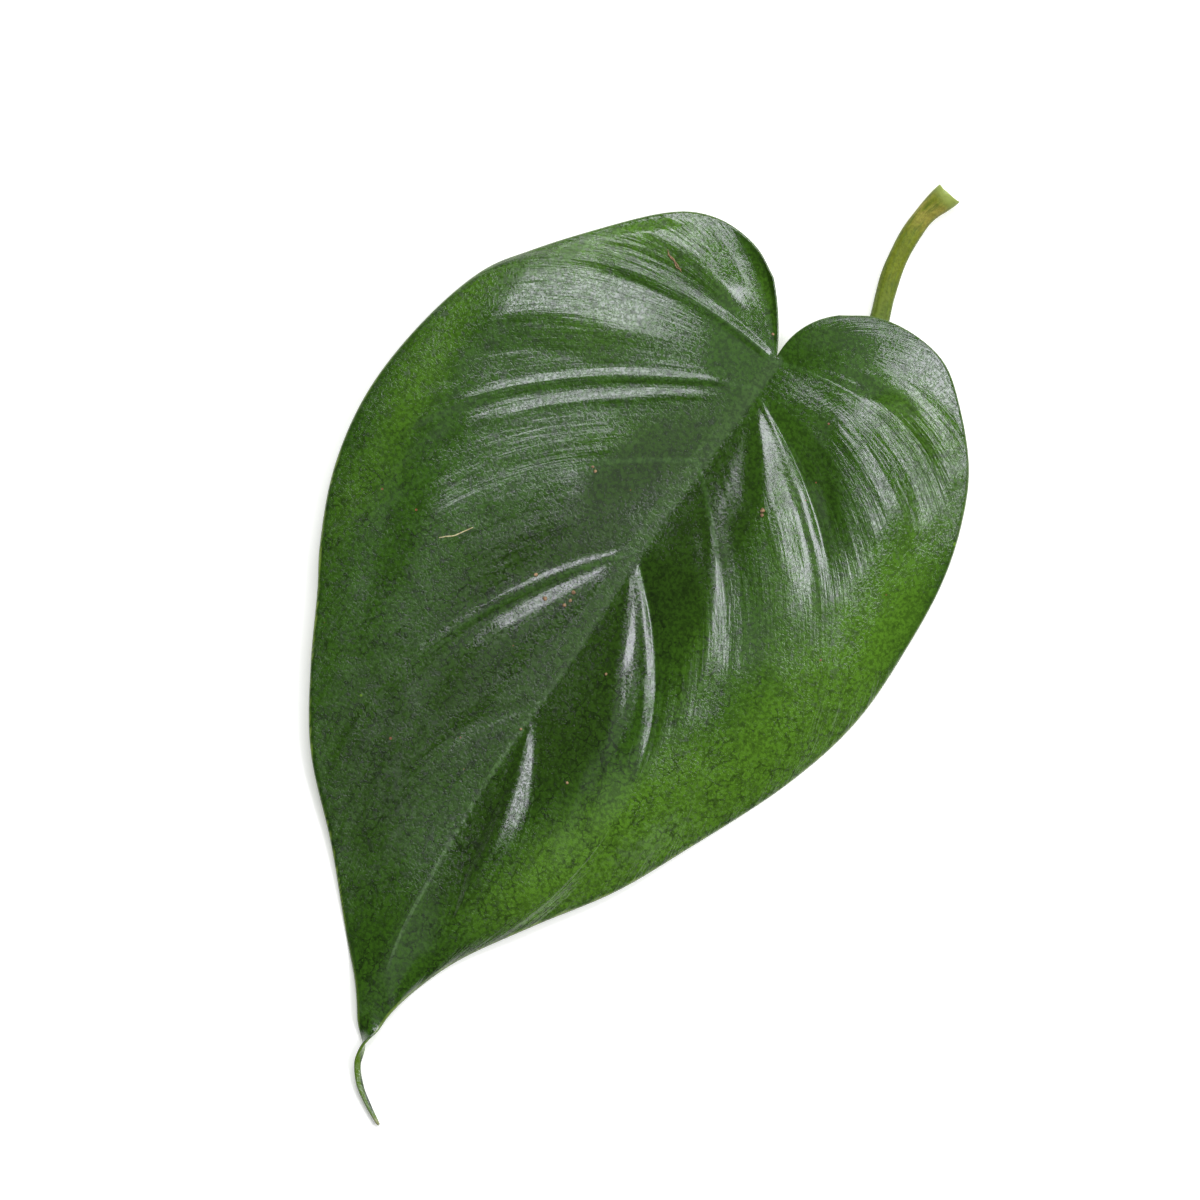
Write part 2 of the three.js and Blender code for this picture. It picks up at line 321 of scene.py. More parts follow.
LEFT_LOBE_VEIN = (
    Fold(
        ((-12, 0), (-7.6, 0.8), (-6.4, 0.85), (-1.7, -0.6), (1.3, -0.75), (8, 0)),
        0.15, 18, (26, 38), (6, 13),
    ),
    Fold(((1.3, 0), (7.5, 0.75), (8.5, 0.8), (13, 0)), 0.15, 19, (36, 48), (10, 17)),
    Fold(((-1.7, 0), (-0.35, 0.3), (0, 0.28), (1.3, 0)), 0.5, 10, (22, 30)),
)
RIGHT_LOBE_VEIN = (
    Fold(
        (
            (-9, 0), (-6, 0.3), (-4.6, 0.3), (-1, -0.7), (1.9, -0.68), (5.2, 0.6), (6.5, 0.66),
            (9.5, 0.4), (14, 0),
        ),
        0.1, 20, (26, 36), (11, 18),
    ),
)
LEFT_BASE_VEIN = (
    Fold(
        (
            (-3.2, 0), (-1.6, 0.05), (-0.7, 0.33), (-0.5, 0.33), (0.7, -0.1), (1.3, -0.05),
            (2.7, 0.4), (3.0, 0.4), (3.8, 0.22), (13, 0),
        ),
        0.5, 16, (30, 42), (2, 7),
    ),
)
RIGHT_BASE_VEIN = (
    Fold(
        (
            (-9, 0), (-5, -0.3), (-0.4, -1.3), (0.8, -0.75), (2.0, -0.68), (4.8, 0.3), (6, 0.34),
            (10.5, -0.25), (13, -0.25), (16, 0),
        ),
        0.1, 12, (20, 32), (1, 6),
    ),
)
LEFT_MINOR_VEIN = (
    Fold(((-9, 0), (0, 0.9), (1.5, 0.95), (3, 0.9), (14, 0)), 0.4, 20, (36, 50), (10, 20)),
)
RIGHT_MINOR_VEIN = (
    Fold(
        ((-5, 0), (-0.7, -0.42), (1.2, 0.17), (1.8, 0.17), (6, -0.38), (12, 0)),
        0.3, 13, (21, 32), (9, 17),
    ),
)
LEFT_MIDDLE_VEIN = (
    Fold(
        ((-8, 0), (-1.6, -0.45), (0.8, -0.4), (3, 0.3), (4.5, 0.55), (6, 0.6), (14, 0)),
        0.3, 10, (16, 27),
    ),
    Fold(((-1.6, 0), (-0.6, 0.34), (-0.4, 0.34), (0.7, 0.1), (1.7, 0)), 0.5, 8, (47, 60)),
)
RIGHT_MIDDLE_VEIN = (
    Fold(
        ((-7, 0), (-0.4, -1.3), (0.9, -1.15), (2.2, -1.1), (5, 0.1), (6, 0.2), (10, 0)),
        0.1, 11, (15, 26),
    ),
    Fold(((-4, 0), (-0.4, -0.5), (0.9, 0.1), (2, 0.1), (6, 0)), 0.3, 10, (22, 36)),
)
LEFT_TIP_VEIN = (
    Fold(((-3, 0.1), (-1, -0.1), (1, 0.15), (4, 0.1), (8, 0)), 0.4, 10, (16, 30)),
)
RIGHT_TIP_VEIN = (
    Fold(
        ((-5, 0), (-0.3, -0.7), (0.3, -0.65), (3.4, 0.9), (5, 0.9), (9, 0)),
        0.1, 10, (13, 20), (0, 4),
    ),
)
LATERALS = tuple(
    LateralPair(start, Arm(*left), Arm(*right), lines)
    for start, left, right, lines in (
        (0, (None, 0.08, 0, 0), (None, 0.27, 0, 0), 56),
        (0, (-11, 0.3, 0.16, 1.2, LEFT_LOBE_VEIN), (-13.3, 0.37, 0.01, 1.5, RIGHT_LOBE_VEIN), 48),
        (-4.7, (-46, 0.22, 0.1, 1.5, LEFT_BASE_VEIN), (-49, 0.275, 0.08, 3.4, RIGHT_BASE_VEIN), 36),
        (-17.5, (-68, 0.33, 0.09, 1.0, LEFT_MINOR_VEIN), (-67, 0.18, 0.03, 3.6, RIGHT_MINOR_VEIN), 34),
        (
            -33, (-85.5, 0.25, 0.09, 0.6, LEFT_MIDDLE_VEIN),
            (-91.5, 0.385, 0, 2.8, RIGHT_MIDDLE_VEIN), 34,
        ),
        (-59, (-96, 0.27, 0, 0.3, LEFT_TIP_VEIN), (-99.5, 0.26, -0.02, 1.6, RIGHT_TIP_VEIN), 28),
        (-78, (-101, 0.2, 0, 0.3), (-102, 0.2, 0, 1.0), 24),
        (-97, (-105.2, 0.08, 0, 0.1), (-105, 0.08, 0, 0.1), 14),
        (-105.5, (-107.2, 0, 0, 0), (-106.2, 0, 0, 0), 26),
        (-111.8, (-112, 0, 0, 0), (-111.4, 0, 0, 0), 20),
        (-116.9, (-117.5, 0, 0, 0), (-116.3, 0, 0, 0), 16),
        (-120.3, (-120.5, 0, 0, 0), (-120.1, 0, 0, 0), 0),
    )
)


class Placement:
    """Turns leaf places in millimetres into places in the frame, in metres."""

    def __init__(self) -> None:
        """Finds where the leaf's notch lies in the frame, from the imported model's box."""
        low = CAD_BOX[0]
        self.notch = np.array([
            low[0] - LEAF_LOW_CORNER[0] * MILLIMETRE,
            low[1] - LEAF_LOW_CORNER[1] * MILLIMETRE,
            low[2],
        ])

    def place(self, points: np.ndarray) -> np.ndarray:
        """The places in metres of leaf places in millimetres."""
        return np.asarray(points, float) * MILLIMETRE + self.notch


@dataclass
class LateralField:
    """One half of the blade as arrays of lines by points along them, in millimetres.

    `before_gap` and `after_gap` are the distances to the lines that bound the panel, and `rib` is
    the distance to the midrib.
    """

    places: np.ndarray
    up: np.ndarray
    along: np.ndarray
    distance: np.ndarray
    station: np.ndarray
    share: np.ndarray
    before_gap: np.ndarray
    after_gap: np.ndarray
    rib: np.ndarray
    panels: np.ndarray

    def vein_gap(self, side: Side) -> np.ndarray:
        """Distances to the nearer of the two bounding lines that are veins."""
        nearest = np.full_like(self.distance, NO_VEIN)
        for row, panel in enumerate(self.panels):
            for line, gap in ((panel, self.before_gap), (panel + 1, self.after_gap)):
                if LATERALS[line].arm(side).folds:
                    nearest[row] = np.minimum(nearest[row], gap[row])
        return nearest


@dataclass(frozen=True)
class Zone:
    """A soft oval patch of the blade: its middle, half sizes, turn in degrees and strength."""

    x: float
    y: float
    long: float
    wide: float
    turn: float
    strength: float

    def mask(self, x: np.ndarray, y: np.ndarray) -> np.ndarray:
        """How strongly the patch shows at each place."""
        cosine, sine = math.cos(math.radians(self.turn)), math.sin(math.radians(self.turn))
        across, up = x - self.x, y - self.y
        first = (across * cosine + up * sine) / self.long
        second = (up * cosine - across * sine) / self.wide
        return self.strength * np.exp(-(first**2 + second**2))


# Where the green is fresher or deeper, the creases calmer, the gloss duller, and the tip striped.
ZONES = {
    "fresh": (
        Zone(31, -28, 26, 8, 90, 0.75),
        Zone(22, -58, 24, 8, 62, 0.66),
        Zone(13, -76, 16, 7, 60, 0.8),
        Zone(-41, -32, 22, 4, 92, 0.6),
        Zone(-30, 3, 16, 5, 48, 0.6),
        Zone(20, -38, 12, 5, 110, 0.25),
        Zone(14, -48, 20, 4, 110, 0.3),
        Zone(-8, 6, 8, 5, 0, 0.3),
        Zone(-12, -20, 14, 3, 38, 0.3),
        Zone(-18, 8, 9, 5, 10, 0.15),
        Zone(-24, -9, 12, 6, 35, 0.3),
        Zone(20, 4, 12, 7, 0, 0.4),
        Zone(14, -20, 16, 4, 125, 0.3),
    ),
    "deep": (
        Zone(4, -24, 16, 6, 100, 0.9),
        Zone(7, 5, 9, 7, 20, 0.2),
        Zone(-8, -22, 12, 5, 75, 0.6),
        Zone(15, -12, 12, 4, 128, 0.5),
        Zone(3, -54, 16, 5, 100, 0.8),
        Zone(-1, -80, 14, 3, 88, 0.6),
        Zone(-12, -58, 32, 13, 80, 0.75),
        Zone(-14, -38, 14, 6, 60, 0.4),
        Zone(-20, -78, 22, 6, 125, 0.25),
    ),
    "calm": (
        Zone(6, -4, 7, 4, 0, 0.8),
        Zone(-4, -3, 6, 4, 20, 0.8),
        Zone(-8, 5, 9, 5, 120, 1.3),
        Zone(33, -19, 14, 6, 97, 1.0),
        Zone(14, -13, 14, 4, 125, 1.0),
        Zone(-2, -99, 12, 6, 90, 1.0),
        Zone(-9, -21, 15, 5, 62, 1.0),
        Zone(-37, -35, 16, 8, 95, 1.0),
        Zone(5, -25, 15, 5, 97, 1.0),
        Zone(21, -41, 13, 6, 118, 0.9),
        Zone(7, 5, 8, 5, 25, 1.0),
        Zone(8, -58, 22, 8, 105, 0.9),
        Zone(-14, -50, 16, 9, 60, 0.6),
        Zone(4, -17, 6, 3, 100, 0.9),
        Zone(14, 3.6, 9, 2.2, 5, 0.9),
    ),
    "dull": (
        Zone(-37, -9, 7, 2.0, 62, 0.4),
        Zone(-32, -1, 4.0, 1.2, 75, 0.6),
        Zone(-29, 3.5, 3.0, 1.0, 80, 0.55),
        Zone(19.5, -67, 11, 3.5, 62, 0.5),
        Zone(-14, -79, 14, 4, 125, 0.4),
    ),
    "strip": (
        Zone(1.7, -114.6, 2.3, 0.24, -58, 1.0),
        Zone(4.8, -118.0, 2.2, 0.22, -39, 1.0),
    ),
}


@dataclass
class Blade:
    """The blade: its sizes in millimetres, its mesh and the marks that its finish reads."""

    thickness: float = 0.42
    solid_half: float = 0.35
    points: int = 62
    band_points: int = 10
    band_width: float = 3.4
    gather: float = 0.55
    lobe_share: float = 0.07
    sink: float = 2.6
    sink_reaches: tuple[float, float] = (34.0, 14.0)
    sink_bends: tuple[float, float] = (1.05, 1.5)
    sink_fades: tuple[float, float] = (70.0, 103.0)
    rib_widths: Pairs = (
        (-112, 0.2), (-90, 0.5), (-60, 0.85), (-32, 1.4), (-8, 1.25), (0, 0.9),
    )
    rib_step: int = 6
    rib_crown: float = 0.08
    rib_softness: float = 0.2
    ridge_depth: float = 1.1
    ridge_runs: tuple[float, float, float] = (2.0, 8.0, 106.0)
    ridge_half_width: float = 1.1
    vein_ridge: float = 0.35
    vein_ridge_width: float = 0.55
    roll: float = math.radians(168)
    roll_runs: tuple[float, float] = (107.0, 116.0)
    rim_bulge: float = 0.42
    quilt_height: float = 0.14
    quilt_scales: tuple[float, float] = (0.16, 0.42)
    quilt_streak: tuple[float, float] = (0.2, 0.09)
    quilt_parts: tuple[float, float, float] = (0.55, 0.3, 0.5)
    quilt_shift: float = 40.0
    placement: Placement = field(default_factory=Placement)

    def lines(self, side: Side) -> LateralField:
        """Lays out one half of the blade, with its relief and the roll of the drip tip.

        Args:
            side: the half to lay out.

        Returns:
            The half's lines.
        """
        margin = LEFT_MARGIN if side is Side.LEFT else RIGHT_MARGIN
        share, y, end_share, bow, lean, dome, panels = self._table(side, margin)
        station = MIDRIB.share_at_y(y)
        start, axis, end = MIDRIB.at(station), MIDRIB.heading(station), margin.at(end_share)
        chord = end - start
        outward = np.stack([chord[:, 1], -chord[:, 0], np.zeros(len(y))], -1) * -side.value
        control = (start + end) / 2 + outward * bow[:, None] + chord * lean[:, None]
        control[:, 2] += 2 * dome

        sides = np.linalg.norm(control - start, axis=1) + np.linalg.norm(end - control, axis=1)
        length = np.maximum((sides + np.linalg.norm(chord, axis=1)) / 2, 0.05)
        along = self._spread(length)
        t = along[..., None]
        places = (1 - t) ** 2 * start[:, None] + 2 * t * (1 - t) * control[:, None]
        places = places + t**2 * end[:, None]
        angle = self.roll * ease(-y, *self.roll_runs)
        up = turned(np.array([[0.0, 0.0, 1.0]]), np.zeros((1, 3)), axis, angle)
        angles = np.broadcast_to(angle[:, None], along.shape)
        places = turned(places, start[:, None], axis[:, None], angles)

        panels = panels.astype(int)
        before_gap, after_gap = self._gaps(places, panels)
        rib = np.stack([gap_to(line, MIDRIB.samples[:: self.rib_step]) for line in places])
        lay = LateralField(
            places, up, along, along * length[:, None], y[:, None], share[:, None],
            before_gap, after_gap, rib, panels,
        )
        places += up[:, None] * self.relief(lay, side)[..., None]
        return lay

    def _table(self, side: Side, margin: SmoothCurve) -> np.ndarray:
        """The numbers that lay out the lateral lines, blended from pair to pair.

        Args:
            side: the half to lay out.
            margin: its margin.

        Returns:
            By line: the share of its panel, y on the midrib, share of the margin, bow, lean, dome
            and the panel's number.
        """
        rows = []
        for panel, (pair, following) in enumerate(zip(LATERALS[:-1], LATERALS[1:])):
            steps = np.linspace(0, 1, pair.lines + 1)
            if panel < len(LATERALS) - 2:
                steps = steps[:-1]
            share = (1 - self.gather) * steps + self.gather * (1 - np.cos(math.pi * steps)) / 2
            arm, next_arm = pair.arm(side), following.arm(side)
            first = 0.0 if arm.to is None else float(margin.share_at_y(arm.to, self.lobe_share))
            last = float(margin.share_at_y(next_arm.to, self.lobe_share))
            blends = (
                (pair.start, following.start), (first, last), (arm.bow, next_arm.bow),
                (arm.lean, next_arm.lean), (arm.dome, next_arm.dome),
            )
            blended = [here + (beyond - here) * share for here, beyond in blends]
            rows.append(np.stack([share, *blended, np.full(len(share), panel)], -1))
        return np.vstack(rows).T

    def _spread(self, length: np.ndarray) -> np.ndarray:
        """Shares of each line's length for its points, closer together beside the midrib."""
        band = np.minimum(self.band_width / length, self.band_points / (self.points - 1))[:, None]
        steps = np.arange(self.points)[None, :]
        near = band * steps / self.band_points
        far = band + (1 - band) * (steps - self.band_points) / (self.points - 1 - self.band_points)
        return np.where(steps <= self.band_points, near, far)

    @staticmethod
    def _gaps(places: np.ndarray, panels: np.ndarray) -> tuple[np.ndarray, np.ndarray]:
        """Distances across the blade from each point to the lines that bound its panel.

        Args:
            places: lines by points.
            panels: the number of the panel that each line is in.

        Returns:
            The distances to the line before and to the line after.
        """
        heading = np.gradient(places, axis=1)
        heading /= np.maximum(np.linalg.norm(heading, axis=-1, keepdims=True), 1e-9)
        step = np.diff(places, axis=0)
        step -= np.sum(step * heading[:-1], -1, keepdims=True) * heading[:-1]
        width = np.linalg.norm(step, axis=-1)
        total = np.vstack([np.zeros((1, places.shape[1])), np.cumsum(width, axis=0)])
        starts = np.searchsorted(panels, panels, side="left")
        ends = np.minimum(np.searchsorted(panels, panels, side="right"), len(panels) - 1)
        return total - total[starts], total[ends] - total

    def rib_half_width(self, station: np.ndarray) -> np.ndarray:
        """Half the width of the flat band over the midrib, by y along it."""
        return np.interp(station, *zip(*self.rib_widths))

    def _flattening(self, lay: LateralField) -> np.ndarray:
        """How far the dome is let down so that the band over the midrib lies flat.

        Args:
            lay: the half's lines.

        Returns:
            Depths in millimetres, lines by points.
        """
        width = self.rib_half_width(lay.station)
        inside = lay.rib < width
        edge = np.where(inside, lay.distance, 0).max(1, keepdims=True) + 0.1
        climb = lay.places[..., 2] - lay.places[:, :1, 2]
        lines = zip(edge, lay.distance, climb)
        slope = np.stack([np.interp(reach, run, rise) for reach, run, rise in lines]) / edge
        beyond = lay.distance - edge
        inner = lay.distance - (beyond + np.sqrt(beyond**2 + self.rib_softness**2)) / 2
        return slope * inner * (1 - ease(lay.along, 0.2, 0.95))

    def relief(self, lay: LateralField, side: Side) -> np.ndarray:
        """Heights to add to the domed blade: folds at the veins, the sunk midrib, quilting.

        Args:
            lay: the half's lines.
            side: which half it is.

        Returns:
            Heights in millimetres, lines by points.
        """
        height = np.zeros_like(lay.distance)
        first, last = ease(lay.share, 0.0, 0.2), 1 - ease(lay.share, 0.8, 1.0)
        for panel, (pair, following) in enumerate(zip(LATERALS[:-1], LATERALS[1:])):
            rows = lay.panels == panel
            for fold in pair.arm(side).folds:
                height[rows] += last[rows] * fold.height(lay.before_gap[rows], lay.distance[rows])
            for fold in following.arm(side).folds:
                height[rows] += first[rows] * fold.height(-lay.after_gap[rows], lay.distance[rows])
        height *= ease(1 - lay.along, 0.0, 0.15)
        width = self.rib_half_width(lay.station)
        height *= ease(lay.rib - width, -0.1, 1.0)

        half = 0 if side is Side.LEFT else 1
        reach, bend = self.sink_reaches[half], self.sink_bends[half]
        outside = np.clip(lay.rib - width, 0, reach) / reach
        to_tip = 1 - ease(-lay.station, *self.sink_fades)
        height -= (self.sink * (1 - outside) ** bend + self._flattening(lay)) * to_tip
        height += self.rib_crown * np.clip(1 - (lay.rib / width) ** 2, 0, 1) * to_tip
        return height + self._quilting(lay, side) * to_tip

    def _quilting(self, lay: LateralField, side: Side) -> np.ndarray:
        """Soft, irregular swellings between the veins, drawn out along them.

        Args:
            lay: the half's lines.
            side: which half it is.

        Returns:
            Heights in millimetres, lines by points.
        """
        quilt = np.zeros_like(lay.distance)
        offset = self.quilt_shift * side.value
        coarse, fine = self.quilt_scales
        by_line, by_distance = self.quilt_streak
        swells, puckers, streaks = self.quilt_parts
        for row, column in np.ndindex(quilt.shape):
            x, y, _ = lay.places[row, column]
            swell = noise.noise(Vector((x * coarse + offset, y * coarse, 0.0)))
            pucker = noise.noise(Vector((x * fine + offset, y * fine, 9.0)))
            run = lay.distance[row, column] * by_distance
            streak = noise.noise(Vector((row * by_line, run, offset)))
            quilt[row, column] = swells * swell + puckers * pucker + streaks * streak
        quilt = quilt * self.quilt_height * ease(lay.distance, 3.0, 13.0)
        return quilt * ease(1 - lay.along, 0.0, 0.06)

    def underside(self, lay: LateralField, side: Side) -> np.ndarray:
        """How far the lower skin stands below the plain thickness: midrib and veins.

        Args:
            lay: the half's lines.
            side: which half it is.

        Returns:
            Depths in millimetres, lines by points.
        """
        begin, full, end = self.ridge_runs
        run = ease(-lay.station, begin, full) * (1 - ease(-lay.station, full, end))
        across = np.clip(lay.rib / self.ridge_half_width, 0, 1)
        ridge = self.ridge_depth * run * np.sqrt(np.clip(1 - across**2, 0, 1))
        rib = self.vein_ridge * np.exp(-((lay.vein_gap(side) / self.vein_ridge_width) ** 2))
        return np.maximum(ridge, rib * (1 - lay.along) * np.clip(lay.distance / 3, 0, 1))

    def build(self) -> bpy.types.Object:
        """Makes the blade's closed mesh with the marks that its finish reads."""
        return BladeMesh(self).make("dressed_blade")


class BladeMesh:
    """Joins the two halves of the blade into one closed mesh.

    On the vein map the lines lie `line_gap` millimetres apart, and `map_scale` makes centimetres.
    The distance to the margin is taken to every third sample, `outline_step`, in `batches`.
    """

    line_gap = 0.45
    map_scale = 0.1
    outline_step = 3
    batches = 40

    def __init__(self, blade: Blade) -> None:
        """Lays out both halves.

        Args:
            blade: the blade's sizes.
        """
        self.blade = blade
        self.halves = {side: blade.lines(side) for side in Side}
        self.index = self._numbers()
        self.loop = self._edge_loop()

    def make(self, name: str) -> bpy.types.Object:
        """Makes the mesh object, with its marks and its vein map.

        Args:
            name: the object's name.

        Returns:
            The object.
        """
        upper, under = self._skins()
        count = len(upper)
        vertices = np.vstack([upper, under, self._rim(upper, under)])
        faces = self._faces()
        whole = [tuple(face) for face in faces]
        whole += [tuple(corner + count for corner in reversed(face)) for face in faces]
        for place, corner in enumerate(self.loop):
            following = self.loop[(place + 1) % len(self.loop)]
            here, beyond = 2 * count + place, 2 * count + (place + 1) % len(self.loop)
            whole.append((corner, here, beyond, following))
            whole.append((here, corner + count, following + count, beyond))
        mesh = bpy.data.meshes.new(name)
        mesh.from_pydata(self.blade.placement.place(vertices).tolist(), [], whole)
        write_marks(mesh, self._marks(vertices, count), "leaf_place", vertices)
        self._write_flow(mesh)
        mesh.validate()
        self._drop_loose(mesh)
        return smooth_piece(name, mesh)

    @staticmethod
    def _drop_loose(mesh: bpy.types.Mesh) -> None:
        """Deletes the points that no face uses, which the shared midrib leaves over."""
        work = bmesh.new()
        work.from_mesh(mesh)
        loose = [vertex for vertex in work.verts if not vertex.link_faces]
        bmesh.ops.delete(work, geom=loose, context="VERTS")
        work.to_mesh(mesh)
        work.free()

    def _numbers(self) -> dict[Side, np.ndarray]:
        """The vertex number of every point, with the midrib shared by both halves."""
        lines, points = self.halves[Side.LEFT].along.shape
        left = np.arange(lines * points).reshape(lines, points)
        right = left + lines * points
        fan = self.halves[Side.LEFT].station[:, 0] >= 0
        left[fan, 0] = left[0, 0]
        right[:, 0] = left[:, 0]
        return {Side.LEFT: left, Side.RIGHT: right}

    def _edge_loop(self) -> list[int]:
        """The numbers of the points round the edge, in order."""
        left, right = self.index[Side.LEFT], self.index[Side.RIGHT]
        loop = [
            *left[0], *left[1:, -1], *left[-1, :-1][::-1],
            *right[-1, 1:], *right[1:-1, -1][::-1], *right[0, 1:][::-1],
        ]
        return [int(corner) for corner in loop]

    def _skins(self) -> tuple[np.ndarray, np.ndarray]:
        """Places on the upper and the lower skin."""
        blade = self.blade
        upper, under = [], []
        for side, lay in self.halves.items():
            up = lay.up[:, None]
            low = lay.places - up * blade.solid_half
            upper.append((low + up * blade.thickness).reshape(-1, 3))
            under.append((low - up * blade.underside(lay, side)[..., None]).reshape(-1, 3))
        return np.vstack(upper), np.vstack(under)

    def _faces(self) -> list[list[int]]:
        """The upper skin's faces, seen the right way round."""
        faces = []
        for side, grid in self.index.items():
            corners = np.stack([grid[:-1, :-1], grid[:-1, 1:], grid[1:, 1:], grid[1:, :-1]], -1)
            for face in corners.reshape(-1, 4).tolist():
                face = list(dict.fromkeys(face))
                faces.append(face if side is Side.LEFT else face[::-1])
        return faces

    def _rim(self, upper: np.ndarray, under: np.ndarray) -> np.ndarray:
        """The line round the edge, halfway between the skins and a little further out."""
        middle = (upper[self.loop] + under[self.loop]) / 2
        ahead = np.roll(middle, -1, axis=0) - np.roll(middle, 1, axis=0)
        outward = np.cross(ahead, upper[self.loop] - under[self.loop])
        outward /= np.maximum(np.linalg.norm(outward, axis=1, keepdims=True), 1e-9)
        return middle + outward * self.blade.thickness * self.blade.rim_bulge

    def _marks(self, vertices: np.ndarray, count: int) -> dict[str, np.ndarray]:
        """Numbers for the finish to read, one for each vertex.

        Args:
            vertices: the places of all vertices.
            count: how many of them each skin has.

        Returns:
            The marks by name.
        """
        blade, x, y = self.blade, vertices[:, 0], vertices[:, 1]
        outline = np.vstack([LEFT_MARGIN.samples, RIGHT_MARGIN.samples])
        parts = np.array_split(vertices[:count], self.batches)
        edge = np.concatenate([gap_to(part, outline[:: self.outline_step]) for part in parts])
        halves, rim = self.halves.items(), np.array(self.loop)
        vein = [lay.vein_gap(side).ravel() for side, lay in halves]
        rib = [(lay.rib - blade.rib_half_width(lay.station)).ravel() for _, lay in halves]
        depth = [lay.along.ravel() for _, lay in halves]
        marks = {"edge_gap": edge}
        for name, values in (("vein_gap", vein), ("rib_gap", rib), ("along", depth)):
            marks[name] = np.concatenate(values)
        marks = {name: np.concatenate([row, row, row[rim]]) for name, row in marks.items()}
        marks["under"] = np.repeat(
            [Face.UPPER.value, Face.UNDER.value, Face.RIM.value], [count, count, len(rim)]
        )
        for name, zones in ZONES.items():
            marks[name] = sum(zone.mask(x, y) for zone in zones)
        return marks

    def _write_flow(self, mesh: bpy.types.Mesh) -> None:
        """Writes the vein map in centimetres: across the lateral lines, and out from the midrib."""
        flow = []
        for side, lay in self.halves.items():
            numbers = np.arange(len(lay.panels))[:, None] * self.line_gap + 0 * lay.along
            flow.append(np.stack([numbers, lay.distance * side.value], -1).reshape(-1, 2))
        flow = np.vstack(flow)
        whole = np.vstack([flow, flow, flow[self.loop]]) * self.map_scale
        layer = mesh.uv_layers.new(name=VEIN_MAP)
        corners = np.empty(len(mesh.loops), np.int64)
        mesh.loops.foreach_get("vertex_index", corners)
        layer.data.foreach_set("uv", whole[corners].astype(np.float32).ravel())


